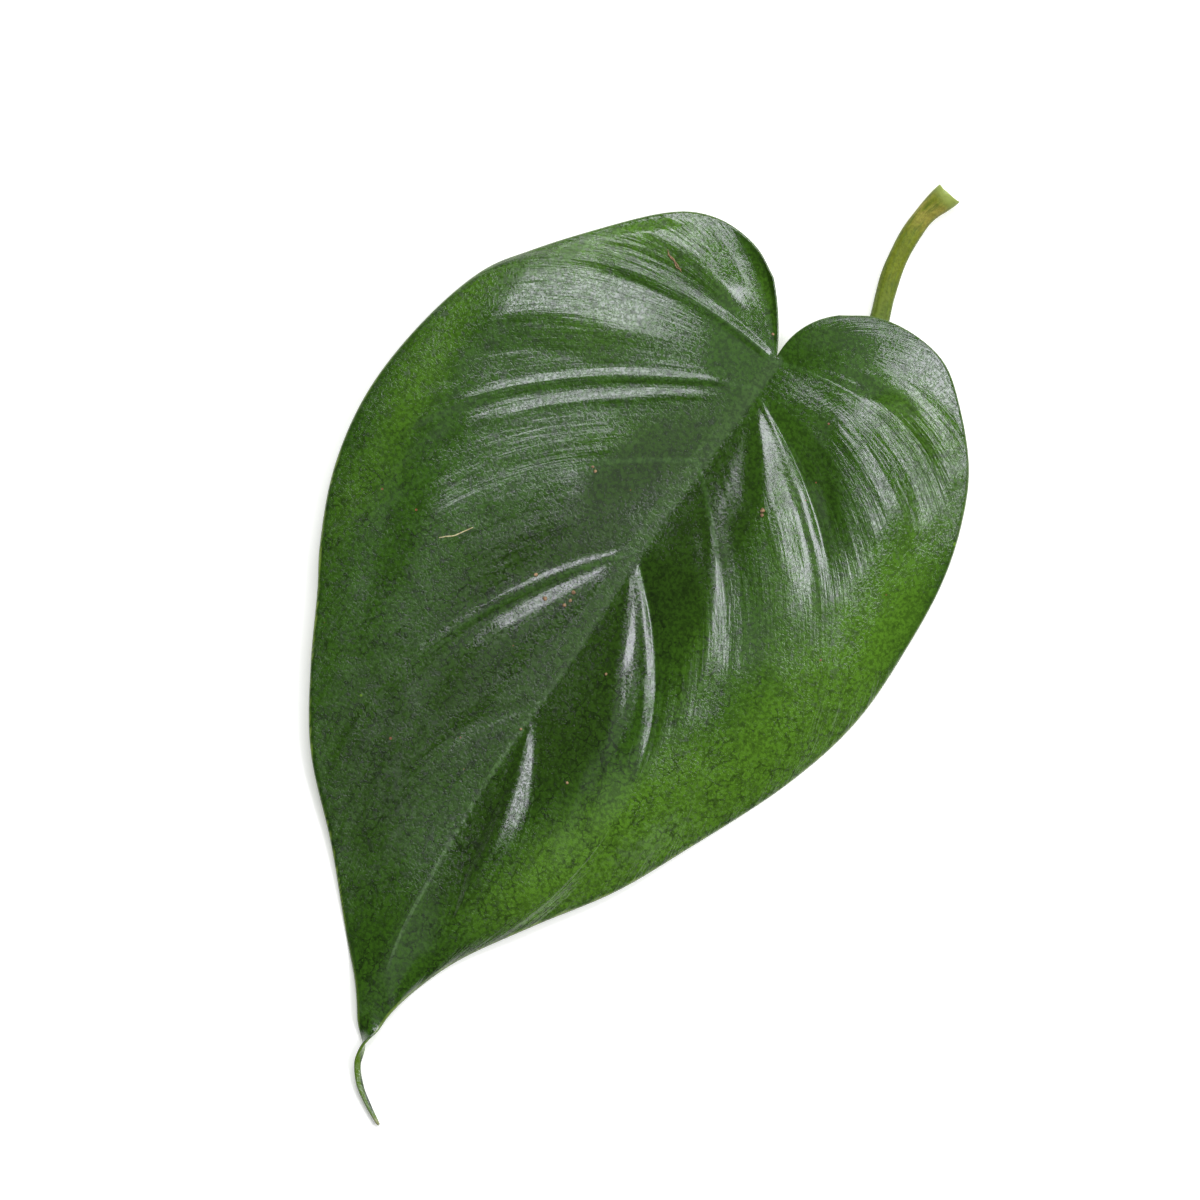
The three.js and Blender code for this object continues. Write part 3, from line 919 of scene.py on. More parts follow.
@dataclass
class Stalk:
    """The stalk: its sizes in millimetres and its mesh, from the midrib to the slanted cut."""

    root_radius: float = 0.4
    radius: float = 1.4
    end_radius: float = 1.85
    root_length: float = 12.0
    flare_length: float = 5.8
    rings: int = 150
    sides: int = 40
    cut_slant: float = 0.4
    cut_skew: float = 0.26
    notch_depth: float = 0.3
    notch_width: float = 0.2
    channel: float = 0.1
    channel_width: float = 0.35
    wave: float = 0.02
    wave_rate: float = 0.9
    cut_rings: Pairs = ((0.06, -0.04), (0.16, 0.05), (0.5, 0.12), (0.8, 0.08))
    placement: Placement = field(default_factory=Placement)

    def path(self) -> SmoothCurve:
        """The stalk's route, with the height of its lowest side."""
        return SmoothCurve([
            (-1.2, -12, 2.95), (-0.85, -8.6, 2.45), (-0.35, -4.8, 1.8), (0.4, -1.2, 1.15),
            (3.4, -0.2, 1.0), (6.6, 1.2, 0.75), (9.2, 4.0, 0.4), (10.2, 8.2, 0.1), (9.5, 12.5, 0),
            (8.4, 16, 0), (7.4, 20, 0), (7.0, 25, 0), (7.4, 29, 0), (8.7, 33, 0),
        ])

    def build(self) -> bpy.types.Object:
        """Makes the stalk's closed mesh with the marks that its finish reads."""
        path = self.path()
        share = np.linspace(0, 1, self.rings)
        run = share * path.length
        flare_start = path.length - self.flare_length
        radius = self.root_radius + (self.radius - self.root_radius) * ease(run, 0, self.root_length)
        radius += (self.end_radius - self.radius) * ease(run, flare_start, path.length)
        centre = path.at(share)
        centre[:, 2] += radius
        ahead = path.heading(share)
        ahead[:, 2] = 0
        ahead /= np.linalg.norm(ahead, axis=1, keepdims=True)
        across = np.stack([ahead[:, 1], -ahead[:, 0], np.zeros(self.rings)], -1)
        angle = np.linspace(0, 2 * math.pi, self.sides, endpoint=False)

        groove = np.exp(-(((angle - math.pi / 2) / self.channel_width) ** 2))
        wall = radius[:, None] * (1 - self.channel * groove)
        wall = wall * (1 + self.wave * np.sin(run[:, None] * self.wave_rate + 2 * angle))
        ring = centre[:, None] + across[:, None] * (wall * np.cos(angle))[..., None]
        ring[..., 2] += wall * np.sin(angle)
        slant = self.cut_slant * np.clip(np.sin(angle), 0, 1)
        slant = slant - self.cut_skew * np.cos(angle)
        slant = slant + self.notch_depth * np.exp(-(((np.cos(angle) + 0.3) / self.notch_width) ** 2))
        ring -= ahead[:, None] * (slant * ease(share, 0.96, 1)[:, None])[..., None]
        caps = [
            ring[-1] + (centre[-1] - ring[-1]) * inset - ahead[-1] * sunk
            for inset, sunk in self.cut_rings
        ]
        return self._mesh(np.vstack([ring.reshape(-1, 3), *caps]), run, angle)

    def _mesh(self, vertices: np.ndarray, run: np.ndarray, angle: np.ndarray) -> bpy.types.Object:
        """Joins the rings into a closed mesh.

        Args:
            vertices: the rings' points, with those of the cut face last.
            run: how far along the stalk each ring is.
            angle: the angle of each point round a ring.

        Returns:
            The stalk.
        """
        caps = len(self.cut_rings)
        rows = self.rings + caps
        grid = np.arange(rows * self.sides).reshape(rows, self.sides)
        beside = np.roll(grid, -1, axis=1)
        quads = np.stack([grid[:-1], grid[1:], beside[1:], beside[:-1]], -1)
        faces = [tuple(quad) for quad in quads.reshape(-1, 4).tolist()]
        faces += [tuple(grid[0].tolist()), tuple(grid[-1][::-1].tolist())]
        mesh = bpy.data.meshes.new("dressed_stalk")
        mesh.from_pydata(self.placement.place(vertices).tolist(), [], faces)
        length = np.concatenate([run, np.full(caps, run[-1])])
        marks = {
            "along": np.repeat(run[-1] - length, self.sides),
            "cut": np.repeat(np.arange(rows) >= self.rings, self.sides).astype(float),
        }
        turn = np.tile(angle, rows)
        reach = np.concatenate([np.ones(self.rings), np.linspace(0.95, 0.1, caps)])
        reach = np.repeat(reach, self.sides) * self.radius
        unrolled = np.stack(
            [np.cos(turn) * reach, np.sin(turn) * reach, np.repeat(length, self.sides)], -1
        )
        write_marks(mesh, marks, "stalk_place", unrolled)
        return smooth_piece("dressed_stalk", mesh)


@dataclass
class Litter:
    """Fibres and crumbs of soil that lie on the blade, with sizes in millimetres."""

    blade: bpy.types.Object
    fibre_radius: float = 0.085
    fibre_sides: int = 6
    fibre_rest: float = 0.8
    fibre_end: float = 0.35
    crumb_rest: float = 0.35
    crumb_lumps: float = 0.45
    crumb_grain: float = 2500.0
    crumb_flatness: float = 0.6
    brown_fibres: tuple[Pairs, ...] = (
        ((-21.0, 5.6), (-20.2, 4.9), (-19.0, 4.6), (-17.7, 3.9)),
        ((-20.6, 5.0), (-19.6, 4.9), (-18.6, 4.1), (-17.9, 4.2)),
    )
    pale_fibres: tuple[Pairs, ...] = (
        ((-27.4, -45.4), (-26.6, -44.7), (-25.8, -44.1), (-25.0, -43.0), (-24.1, -41.7)),
    )
    crumbs: tuple[tuple[float, float, float], ...] = (
        (9.2, -18.8, 0.34), (9.5, -19.4, 0.26), (-7.4, -42.2, 0.3), (-7.2, -43.4, 0.24),
        (-7.6, -44.4, 0.26), (-10.4, -45.0, 0.3), (-13.2, -42.8, 0.26), (-13.6, -26.2, 0.24),
        (-14.2, -25.8, 0.2), (-2.3, 3.1, 0.22), (5.6, -65.4, 0.2), (2.4, -49.6, 0.18),
        (-3.8, -62.4, 0.2),
    )
    placement: Placement = field(default_factory=Placement)

    def __post_init__(self) -> None:
        """Prepares the blade's surface for finding heights on it."""
        work = bmesh.new()
        work.from_mesh(self.blade.data)
        self.surface = BVHTree.FromBMesh(work)
        work.free()

    def height(self, x: float, y: float) -> float:
        """The height of the blade's upper skin at a leaf place, in millimetres."""
        above = self.placement.place(np.array([x, y, 30.0]))
        hit = self.surface.ray_cast(Vector(above), Vector((0, 0, -1)))[0]
        return (hit.z - self.placement.notch[2]) / MILLIMETRE

    def fibre(self, route: Sequence[tuple[float, float]], work: bmesh.types.BMesh) -> None:
        """Adds one thin, tapered fibre that lies on the blade.

        Args:
            route: the places that it passes.
            work: the mesh that it is added to.
        """
        lift = self.fibre_radius * self.fibre_rest
        points = SmoothCurve([(x, y, self.height(x, y) + lift) for x, y in route], 8).samples
        rings = []
        for place, point in enumerate(points):
            share = place / (len(points) - 1)
            swell = math.sin(math.pi * (0.15 + 0.7 * share))
            radius = self.fibre_radius * (self.fibre_end + (1 - self.fibre_end) * swell)
            ahead = points[min(place + 1, len(points) - 1)] - points[max(place - 1, 0)]
            across = np.array([ahead[1], -ahead[0], 0.0])
            across = across / max(float(np.linalg.norm(ahead[:2])), 1e-9)
            ring = []
            for side in range(self.fibre_sides):
                angle = 2 * math.pi * side / self.fibre_sides
                offset = across * math.cos(angle) + np.array([0, 0, math.sin(angle)])
                ring.append(work.verts.new(self.placement.place(point + offset * radius)))
            rings.append(ring)
        for ring, following in zip(rings[:-1], rings[1:]):
            for side in range(self.fibre_sides):
                beside = (side + 1) % self.fibre_sides
                work.faces.new((ring[side], following[side], following[beside], ring[beside]))
        work.faces.new(rings[0])
        work.faces.new(rings[-1][::-1])

    def crumb(self, x: float, y: float, radius: float, work: bmesh.types.BMesh) -> None:
        """Adds one lumpy crumb that lies on the blade."""
        made = bmesh.ops.create_icosphere(work, subdivisions=2, radius=radius * MILLIMETRE)
        height = self.height(x, y) + radius * self.crumb_rest
        centre = self.placement.place(np.array([x, y, height]))
        for vertex in made["verts"]:
            lump = noise.noise(vertex.co * self.crumb_grain + Vector((x, y, 0)))
            vertex.co *= 1 + self.crumb_lumps * lump
            vertex.co.z *= self.crumb_flatness
            vertex.co += Vector(centre)

    def build(self) -> dict[str, bpy.types.Object]:
        """Makes the brown litter and the pale fibres, each as one piece."""
        pieces = {}
        for name, fibres, crumbs in (
            ("brown_litter", self.brown_fibres, self.crumbs),
            ("pale_fibres", self.pale_fibres, ()),
        ):
            work = bmesh.new()
            for route in fibres:
                self.fibre(route, work)
            for x, y, radius in crumbs:
                self.crumb(x, y, radius, work)
            bmesh.ops.recalc_face_normals(work, faces=work.faces[:])
            mesh = bpy.data.meshes.new(name)
            work.to_mesh(mesh)
            work.free()
            pieces[name] = smooth_piece(name, mesh)
        return pieces


class SharedEffect(Enum):
    """The node groups that more than one finish uses."""

    GRAIN = "fine_grain"
    SPECKS = "specks"


Effects = dict[SharedEffect, bpy.types.NodeTree]


class Sheet:
    """Places and links the nodes of one material or node group."""

    def __init__(self, tree: bpy.types.NodeTree, effects: Effects | None = None) -> None:
        """Keeps the tree that the nodes go into, and the shared effects that it may use."""
        self.tree = tree
        self.effects = effects or {}

    def feed(self, socket: Socket, value: Any) -> None:
        """Links a socket to the socket given, or sets it to the value given."""
        if isinstance(value, bpy.types.NodeSocket):
            self.tree.links.new(value, socket)
        else:
            socket.default_value = value

    def node(self, kind: str, inputs: dict[str | int, Any], **settings: Any) -> bpy.types.Node:
        """Places a node.

        Args:
            kind: the node's type.
            inputs: values or sockets for its inputs.
            settings: its other settings.

        Returns:
            The node.
        """
        made = self.tree.nodes.new(kind)
        for name, value in settings.items():
            setattr(made, name, value)
        for key, value in inputs.items():
            self.feed(made.inputs[key], value)
        return made

    def maths(self, operation: str, first: Any, second: Any = 0.0) -> Socket:
        """The result of a sum on two numbers."""
        return self.node("ShaderNodeMath", {0: first, 1: second}, operation=operation).outputs[0]

    def times(self, first: Any, *others: Any) -> Socket:
        """The product of numbers."""
        for other in others:
            first = self.maths("MULTIPLY", first, other)
        return first

    def plus(self, first: Any, second: Any) -> Socket:
        """The sum of two numbers."""
        return self.maths("ADD", first, second)

    def step(
        self, value: Any, low: float, high: float, start: float = 0.0, end: float = 1.0
    ) -> Socket:
        """A smooth step of a number from start to end, as it goes from low to high."""
        inputs = {"Value": value, "From Min": low, "From Max": high, "To Min": start, "To Max": end}
        made = self.node("ShaderNodeMapRange", inputs, interpolation_type="SMOOTHSTEP")
        return made.outputs["Result"]

    def mix(self, factor: Any, first: Any, second: Any) -> Socket:
        """A mix of two colours."""
        ends = (first, second)
        colours = [(*value, 1.0) if isinstance(value, tuple) else value for value in ends]
        inputs = {0: factor, 6: colours[0], 7: colours[1]}
        return self.node("ShaderNodeMix", inputs, data_type="RGBA").outputs[2]

    def shaded(self, colour: Socket, shade: Socket) -> Socket:
        """A colour made lighter or darker."""
        inputs = {0: colour, "Scale": shade}
        return self.node("ShaderNodeVectorMath", inputs, operation="SCALE").outputs[0]

    def part(self, place: Socket, axis: int) -> Socket:
        """One of the three numbers of a place."""
        return self.node("ShaderNodeSeparateXYZ", {0: place}).outputs[axis]

    def edges(self, place: Socket, scale: float) -> Socket:
        """The distance to the nearest border of a net of cells."""
        inputs = {"Vector": place, "Scale": scale}
        made = self.node("ShaderNodeTexVoronoi", inputs, feature="DISTANCE_TO_EDGE")
        return made.outputs["Distance"]

    def grain(self, place: Socket, cell: float) -> bpy.types.Node:
        """The shared grain, with cells of that size."""
        tree = self.effects[SharedEffect.GRAIN]
        return self.node("ShaderNodeGroup", {"Place": place, "Cell": cell}, node_tree=tree)

    def specks(self, place: Socket, spacing: float, share: float, size: float) -> Socket:
        """The mask of the shared specks.

        Args:
            place: the places to read them at.
            spacing: how far apart their cells are.
            share: how many cells have a speck, from 0 to 1.
            size: the radius of the largest.

        Returns:
            The mask.
        """
        inputs = {"Place": place, "Spacing": spacing, "Share": share, "Size": size}
        tree = self.effects[SharedEffect.SPECKS]
        return self.node("ShaderNodeGroup", inputs, node_tree=tree).outputs["Mask"]

    def bump(self, height: Socket, distance: float) -> Socket:
        """The normal of a fine relief."""
        inputs = {"Height": height, "Strength": 1.0, "Distance": distance}
        return self.node("ShaderNodeBump", inputs).outputs[0]

    def noise(self, place: Any, scale: Any, detail: float = 2.0, rough: float = 0.5) -> Socket:
        """Smooth noise from 0 to 1 at a place."""
        inputs = {"Vector": place, "Scale": scale, "Detail": detail, "Roughness": rough}
        return self.node("ShaderNodeTexNoise", inputs).outputs[0]

    def stretched(self, place: Any, stretch: Point) -> Socket:
        """A place with its axes scaled."""
        return self.node("ShaderNodeMapping", {"Vector": place, "Scale": stretch}).outputs[0]

    def mark(self, name: str, output: str = "Fac") -> Socket:
        """A mark that the mesh carries."""
        return self.node("ShaderNodeAttribute", {}, attribute_name=name).outputs[output]


class EffectGroups:
    """Builds each shared node group once, for all materials."""

    def build(self) -> Effects:
        """Builds the groups."""
        return {SharedEffect.GRAIN: self._grain(), SharedEffect.SPECKS: self._specks()}

    @staticmethod
    def _start(
        effect: SharedEffect, inputs: tuple[str, ...], outputs: tuple[str, ...]
    ) -> bpy.types.NodeTree:
        """Makes an empty group with its sockets: a place, then numbers."""
        group = bpy.data.node_groups.new(effect.value, "ShaderNodeTree")
        group.interface.new_socket("Place", in_out="INPUT", socket_type="NodeSocketVector")
        for name in inputs:
            group.interface.new_socket(name, in_out="INPUT", socket_type="NodeSocketFloat")
        for name in outputs:
            group.interface.new_socket(name, in_out="OUTPUT", socket_type="NodeSocketFloat")
        return group

    def _grain(self) -> bpy.types.NodeTree:
        """A fine cell grain: a tone from 0 to 1 with small dark gaps, and its height."""
        group = self._start(SharedEffect.GRAIN, ("Cell",), ("Tone", "Height"))
        sheet = Sheet(group)
        given = group.nodes.new("NodeGroupInput")
        scale = sheet.maths("DIVIDE", 1.0, given.outputs["Cell"])
        fine = sheet.noise(given.outputs["Place"], scale, 3.0, 0.65)
        broad = sheet.noise(given.outputs["Place"], sheet.times(scale, 0.22), 4.0, 0.6)
        gaps = sheet.times(sheet.step(fine, 0.36, 0.62), sheet.step(broad, 0.25, 0.6, 0.55, 1.0))
        result = group.nodes.new("NodeGroupOutput")
        sheet.feed(result.inputs["Tone"], gaps)
        sheet.feed(result.inputs["Height"], sheet.step(fine, 0.32, 0.56))
        return group

    def _specks(self) -> bpy.types.NodeTree:
        """Scattered round specks as a mask."""
        group = self._start(SharedEffect.SPECKS, ("Spacing", "Share", "Size"), ("Mask",))
        sheet = Sheet(group)
        given = group.nodes.new("NodeGroupInput")
        scale = sheet.maths("DIVIDE", 1.0, given.outputs["Spacing"])
        cells = sheet.node("ShaderNodeTexVoronoi", {"Vector": given.outputs["Place"], "Scale": scale})
        draw = sheet.node("ShaderNodeSeparateColor", {0: cells.outputs["Color"]})
        picked = sheet.maths("LESS_THAN", draw.outputs[0], given.outputs["Share"])
        reach = sheet.times(given.outputs["Size"], scale, draw.outputs[1])
        inside = sheet.maths("LESS_THAN", cells.outputs["Distance"], reach)
        result = group.nodes.new("NodeGroupOutput")
        sheet.feed(result.inputs["Mask"], sheet.times(picked, inside))
        return group


@dataclass(frozen=True)
class BladeFinish:
    """The glossy, fine-grained green of the blade, with its paler lower skin."""

    deep: Colour = (0.019, 0.053, 0.003)
    plain: Colour = (0.0258, 0.078, 0.0038)
    fresh: Colour = (0.066, 0.165, 0.0095)
    rib: Colour = (0.034, 0.083, 0.011)
    # Painted highlight on the right flank of the midrib's lower half.
    rib_painted_highlight: Colour = (0.09, 0.165, 0.055)
    vein: Colour = (0.042, 0.105, 0.016)
    edge_line: Colour = (0.16, 0.26, 0.03)
    # Painted shade along the margin.
    edge_shade: Colour = (0.01, 0.035, 0.003)
    speck: Colour = (0.17, 0.07, 0.025)
    dot: Colour = (0.14, 0.28, 0.02)
    under: Colour = (0.10, 0.17, 0.035)
    under_rib: Colour = (0.2, 0.28, 0.08)
    tip: Colour = (0.08, 0.16, 0.008)
    tip_end: Colour = (0.3, 0.3, 0.13)
    strip: Colour = (0.02, 0.045, 0.01)
    roughness: float = 0.135
    under_roughness: float = 0.5
    bump: float = 0.00016
    gloss: float = 0.62

    creases: Pairs = ((12.0, 0.9), (5.5, 0.45))

    def colour(self, sheet: Sheet, place: Socket) -> Socket:
        """The colour of both skins.

        Args:
            sheet: the material's sheet.
            place: leaf places in millimetres.

        Returns:
            The colour.
        """
        height = sheet.part(place, 1)
        broad = sheet.noise(place, 0.09, 3.0, 0.6)
        fresh = sheet.times(sheet.maths("SUBTRACT", broad, 0.5), 0.7)
        fresh = sheet.plus(sheet.mark("fresh"), fresh)
        base = sheet.mix(sheet.step(fresh, 0.0, 0.95), self.plain, self.fresh)
        base = sheet.mix(sheet.step(sheet.mark("deep"), 0.05, 0.9), base, self.deep)
        rib = sheet.step(sheet.mark("rib_gap"), 0.3, -0.4, 0.0, 0.9)
        rib = sheet.times(rib, sheet.step(height, -85.0, -15.0, 0.25, 1.0))
        base = sheet.mix(rib, base, self.rib)
        # Painted highlight and painted shade along the lower midrib, as a low ridge lit from the right
        # would show them.
        base = self.rib_painted_light_lines(sheet, base, place, height)
        vein = sheet.step(sheet.mark("vein_gap"), 0.55, 0.1, 0.0, 0.6)
        vein = sheet.times(vein, sheet.step(height, -65.0, -45.0, 0.2, 1.0))
        inner = sheet.times(vein, sheet.step(sheet.mark("along"), 0.8, 0.3))
        base = sheet.mix(inner, base, self.vein)
        grain = sheet.grain(place, 0.55)
        shade = sheet.step(grain.outputs["Tone"], 0.0, 1.0, 0.62, 1.12)
        blotches = sheet.step(sheet.noise(place, 0.8, 3.0, 0.6), 0.33, 0.44, 0.7, 1.03)
        shade = sheet.times(shade, blotches, self.cracks(sheet, place, height))
        base = self.edge_and_specks(sheet, sheet.shaded(base, shade), place, broad)
        lower = self.lower_skin(sheet, place, vein)
        return sheet.mix(sheet.step(sheet.mark("under"), 0.2, 0.4), base, lower)

    def edge_and_specks(self, sheet: Sheet, base: Socket, place: Socket, broad: Socket) -> Socket:
        """The painted shade along the margin with its thin fresh line, and the scattered specks and
        dots.

        Args:
            sheet: the material's sheet.
            base: the colour so far.
            place: leaf places in millimetres.
            broad: broad noise that breaks the line up.

        Returns:
            The colour with them.
        """
        edge = sheet.mark("edge_gap")
        # The dark band along the margin is painted shade.
        base = sheet.mix(sheet.step(edge, 0.8, 0.3, 0.0, 0.35), base, self.edge_shade)
        to_tip = sheet.step(sheet.part(place, 1), -15.0, -50.0, 0.15, 1.0)
        shown = sheet.times(sheet.step(broad, 0.4, 0.6, 0.2, 0.85), to_tip)
        line = sheet.times(sheet.step(edge, 0.3, 0.08), shown)
        base = sheet.mix(line, base, self.edge_line)
        flat = sheet.stretched(place, (1.0, 1.0, 0.1))
        base = sheet.mix(sheet.specks(flat, 2.7, 0.17, 0.24), base, self.speck)
        dots = sheet.times(sheet.specks(flat, 4.3, 0.12, 0.3), 0.7)
        return sheet.mix(dots, base, self.dot)

    def lower_skin(self, sheet: Sheet, place: Socket, vein: Socket) -> Socket:
        """The colour of the lower skin, which also shows on the turned drip tip.

        Args:
            sheet: the material's sheet.
            place: leaf places in millimetres.
            vein: the mask of the lateral veins.

        Returns:
            The colour.
        """
        height = sheet.part(place, 1)
        net = sheet.step(sheet.edges(place, 0.45), 0.09, 0.0, 0.0, 0.45)
        lower = sheet.mix(net, self.under, self.under_rib)
        ribs = sheet.maths("MAXIMUM", sheet.step(sheet.mark("rib_gap"), 0.2, -0.6), vein)
        lower = sheet.mix(ribs, lower, self.under_rib)
        tip = sheet.mix(sheet.step(sheet.mark("strip"), 0.2, 0.7), self.tip, self.strip)
        tip = sheet.mix(sheet.step(height, -119.3, -120.4, 0.0, 0.8), tip, self.tip_end)
        return sheet.mix(sheet.step(height, -110.0, -112.0), lower, tip)

    def rib_painted_light_lines(self, sheet: Sheet, base: Socket, place: Socket, height: Socket) -> Socket:
        """A painted highlight down the right edge of the midrib's lower half, and a painted shade line
        on its left.

        Args:
            sheet: the material's sheet.
            base: the colour so far.
            place: leaf places in millimetres.
            height: the same places' y.

        Returns:
            The colour with both lines.
        """
        gap = sheet.mark("rib_gap")
        right = sheet.step(sheet.part(self.flow(sheet), 1), 0.0, 0.01)
        left = sheet.maths("SUBTRACT", 1.0, right)
        reach = sheet.times(sheet.step(height, -42.0, -66.0), sheet.step(height, -103.0, -98.0))
        # The pale line is a painted highlight on the midrib's right flank.
        pale = sheet.step(sheet.maths("ABSOLUTE", sheet.plus(gap, 0.16)), 0.42, 0.0, 0.0, 0.5)
        base = sheet.mix(sheet.times(pale, right, reach), base, self.rib_painted_highlight)
        # The dark line is painted shade on the midrib's left flank, in the deep green.
        aside = sheet.maths("ABSOLUTE", sheet.maths("SUBTRACT", gap, 0.35))
        dark = sheet.step(aside, 0.4, 0.1, 0.0, 0.6)
        broken = sheet.step(sheet.noise(place, 0.3, 3.0, 0.6), 0.42, 0.56)
        return sheet.mix(sheet.times(dark, broken, reach, left), base, self.deep)

    @staticmethod
    def flow(sheet: Sheet) -> Socket:
        """The blade's vein map."""
        return sheet.node("ShaderNodeUVMap", {}, uv_map=VEIN_MAP).outputs[0]

    def cracks(self, sheet: Sheet, place: Socket, height: Socket) -> Socket:
        """Thin, broken dark lines, mostly on the half towards the drip tip.

        Args:
            sheet: the material's sheet.
            place: leaf places in millimetres.
            height: the same places' y.

        Returns:
            What the colour is multiplied by.
        """
        inputs = {"Vector": place, "Scale": 0.9, "Detail": 3.0}
        sway = sheet.node("ShaderNodeTexNoise", inputs).outputs["Color"]
        inputs = {0: sway, 1: (2.0, 2.0, 0.0), 2: place}
        bent = sheet.node("ShaderNodeVectorMath", inputs, operation="MULTIPLY_ADD").outputs[0]
        lines = sheet.step(sheet.edges(bent, 0.6), 0.085, 0.02)
        broken = sheet.step(sheet.noise(place, 0.35, 2.0, 0.6), 0.42, 0.58, 0.1, 1.0)
        lines = sheet.times(lines, broken, sheet.step(height, -20.0, -50.0, 0.2, 1.0))
        return sheet.step(lines, 0.0, 1.0, 1.0, 0.5)

    def relief(self, sheet: Sheet, place: Socket) -> Socket:
        """The fine relief: creases along the veins and a cell grain.

        Args:
            sheet: the material's sheet.
            place: leaf places in millimetres.

        Returns:
            The normal.
        """
        flow, (fine_run, broad_run) = self.flow(sheet), self.creases
        fine = sheet.noise(sheet.stretched(flow, (*fine_run, 1.0)), 1.0, 3.0, 0.6)
        broad = sheet.noise(sheet.stretched(flow, (*broad_run, 1.0)), 1.0, 2.0, 0.5)
        creases = sheet.plus(fine, sheet.times(broad, 1.5))
        patchy = sheet.step(sheet.noise(place, 0.07, 2.0), 0.38, 0.62, 0.35, 1.0)
        calm = sheet.mark("calm")
        patchy = sheet.times(patchy, sheet.step(calm, 0.1, 0.9, 1.2, 0.15))
        creased = sheet.times(sheet.step(sheet.mark("rib_gap"), 1.0, 12.0), patchy)
        grain = sheet.grain(place, 0.38).outputs["Height"]
        grain = sheet.times(grain, sheet.step(calm, 0.1, 0.9, 0.13, 0.05))
        return sheet.bump(sheet.plus(sheet.times(creases, creased), grain), self.bump)

    def material(self, effects: Effects) -> bpy.types.Material:
        """Makes the material.

        Args:
            effects: the shared effects.

        Returns:
            The material.
        """
        made, sheet, shader = new_material("blade_finish", effects)
        place = sheet.mark("leaf_place", "Vector")
        sheet.feed(shader.inputs["Base Color"], self.colour(sheet, place))
        calm = sheet.mark("calm")
        grain = sheet.grain(place, 0.7)
        pores = sheet.step(grain.outputs["Tone"], 0.3, 0.02, 0.0, 0.17)
        pores = sheet.times(pores, sheet.step(calm, 0.1, 0.9, 1.0, 0.3))
        upper = sheet.plus(pores, self.roughness)
        patches = sheet.noise(place, 0.8, 3.0, 0.6)
        spotty = sheet.step(patches, 0.42, 0.36, 0.0, 0.16)
        spotty = sheet.times(spotty, sheet.step(calm, 0.1, 0.9, 1.0, 0.1))
        zone = sheet.plus(sheet.mark("dull"), sheet.maths("SUBTRACT", patches, 0.5))
        dull = sheet.maths("MAXIMUM", spotty, sheet.step(zone, 0.2, 0.6, 0.0, 0.35))
        upper = sheet.plus(upper, dull)
        shader.inputs["Specular IOR Level"].default_value = self.gloss
        above_tip = sheet.step(sheet.part(place, 1), -112.0, -109.0)
        lower = sheet.times(sheet.step(sheet.mark("under"), 0.2, 0.4), above_tip)
        rough = sheet.node("ShaderNodeMix", {0: lower, 2: upper, 3: self.under_roughness})
        sheet.feed(shader.inputs["Roughness"], rough.outputs[0])
        sheet.feed(shader.inputs["Normal"], self.relief(sheet, place))
        return made


@dataclass(frozen=True)
class StalkFinish:
    """The satin yellow-green of the stalk, with its blush, its streaks and its pale cut."""

    low: Colour = (0.105, 0.155, 0.02)
    root: Colour = (0.19, 0.265, 0.075)
    middle: Colour = (0.135, 0.174, 0.011)
    blush: Colour = (0.28, 0.255, 0.045)
    cut: Colour = (0.27, 0.34, 0.075)
    streak: Colour = (0.075, 0.125, 0.012)
    roughness: float = 0.5
    bump: float = 0.00006
    gloss: float = 0.12

    def material(self, effects: Effects) -> bpy.types.Material:
        """Makes the material.

        Args:
            effects: the shared effects.

        Returns:
            The material.
        """
        made, sheet, shader = new_material("stalk_finish", effects)
        place = sheet.mark("stalk_place", "Vector")
        along = sheet.mark("along")
        base = sheet.mix(sheet.step(along, 22.0, 13.0), self.low, self.middle)
        base = sheet.mix(sheet.step(along, 38.0, 48.0), base, self.root)
        patches = sheet.noise(sheet.stretched(place, (0.6, 0.6, 0.25)), 1.0, 2.0)
        near_cut = sheet.times(sheet.step(along, 9.0, 4.0), sheet.step(along, 0.8, 2.4))
        blush = sheet.times(near_cut, sheet.step(patches, 0.35, 0.6, 0.1, 0.85))
        base = sheet.mix(blush, base, self.blush)
        streaks = sheet.noise(sheet.stretched(place, (2.2, 2.2, 0.3)), 1.0, 3.0, 0.65)
        base = sheet.mix(sheet.step(streaks, 0.47, 0.68, 0.0, 0.75), base, self.streak)
        grain = sheet.grain(place, 0.5)
        shade = sheet.step(grain.outputs["Tone"], 0.0, 1.0, 0.8, 1.08)
        base = sheet.shaded(base, shade)
        base = sheet.mix(sheet.specks(place, 2.4, 0.12, 0.3), base, self.streak)
        base = sheet.mix(sheet.step(along, 2.4, 0.5, 0.0, 0.75), base, self.cut)
        vessels = sheet.times(sheet.specks(place, 0.4, 0.5, 0.22), 0.5)
        face = sheet.mix(vessels, self.cut, self.low)
        base = sheet.mix(sheet.mark("cut"), base, face)
        sheet.feed(shader.inputs["Base Color"], base)
        shader.inputs["Roughness"].default_value = self.roughness
        shader.inputs["Specular IOR Level"].default_value = self.gloss
        height = sheet.plus(streaks, sheet.times(grain.outputs["Height"], 0.3))
        sheet.feed(shader.inputs["Normal"], sheet.bump(height, self.bump))
        return made


@dataclass(frozen=True)
class LitterFinish:
    """The dry, dull finish of a fibre or a crumb."""

    name: str
    light: Colour
    dark: Colour
    roughness: float = 0.75

    def material(self) -> bpy.types.Material:
        """Makes the material."""
        made, sheet, shader = new_material(self.name)
        place = sheet.node("ShaderNodeTexCoord", {}).outputs["Object"]
        tone = sheet.noise(place, 2600.0, 3.0, 0.6)
        colour = sheet.mix(sheet.step(tone, 0.35, 0.65), self.dark, self.light)
        sheet.feed(shader.inputs["Base Color"], colour)
        shader.inputs["Roughness"].default_value = self.roughness
        return made


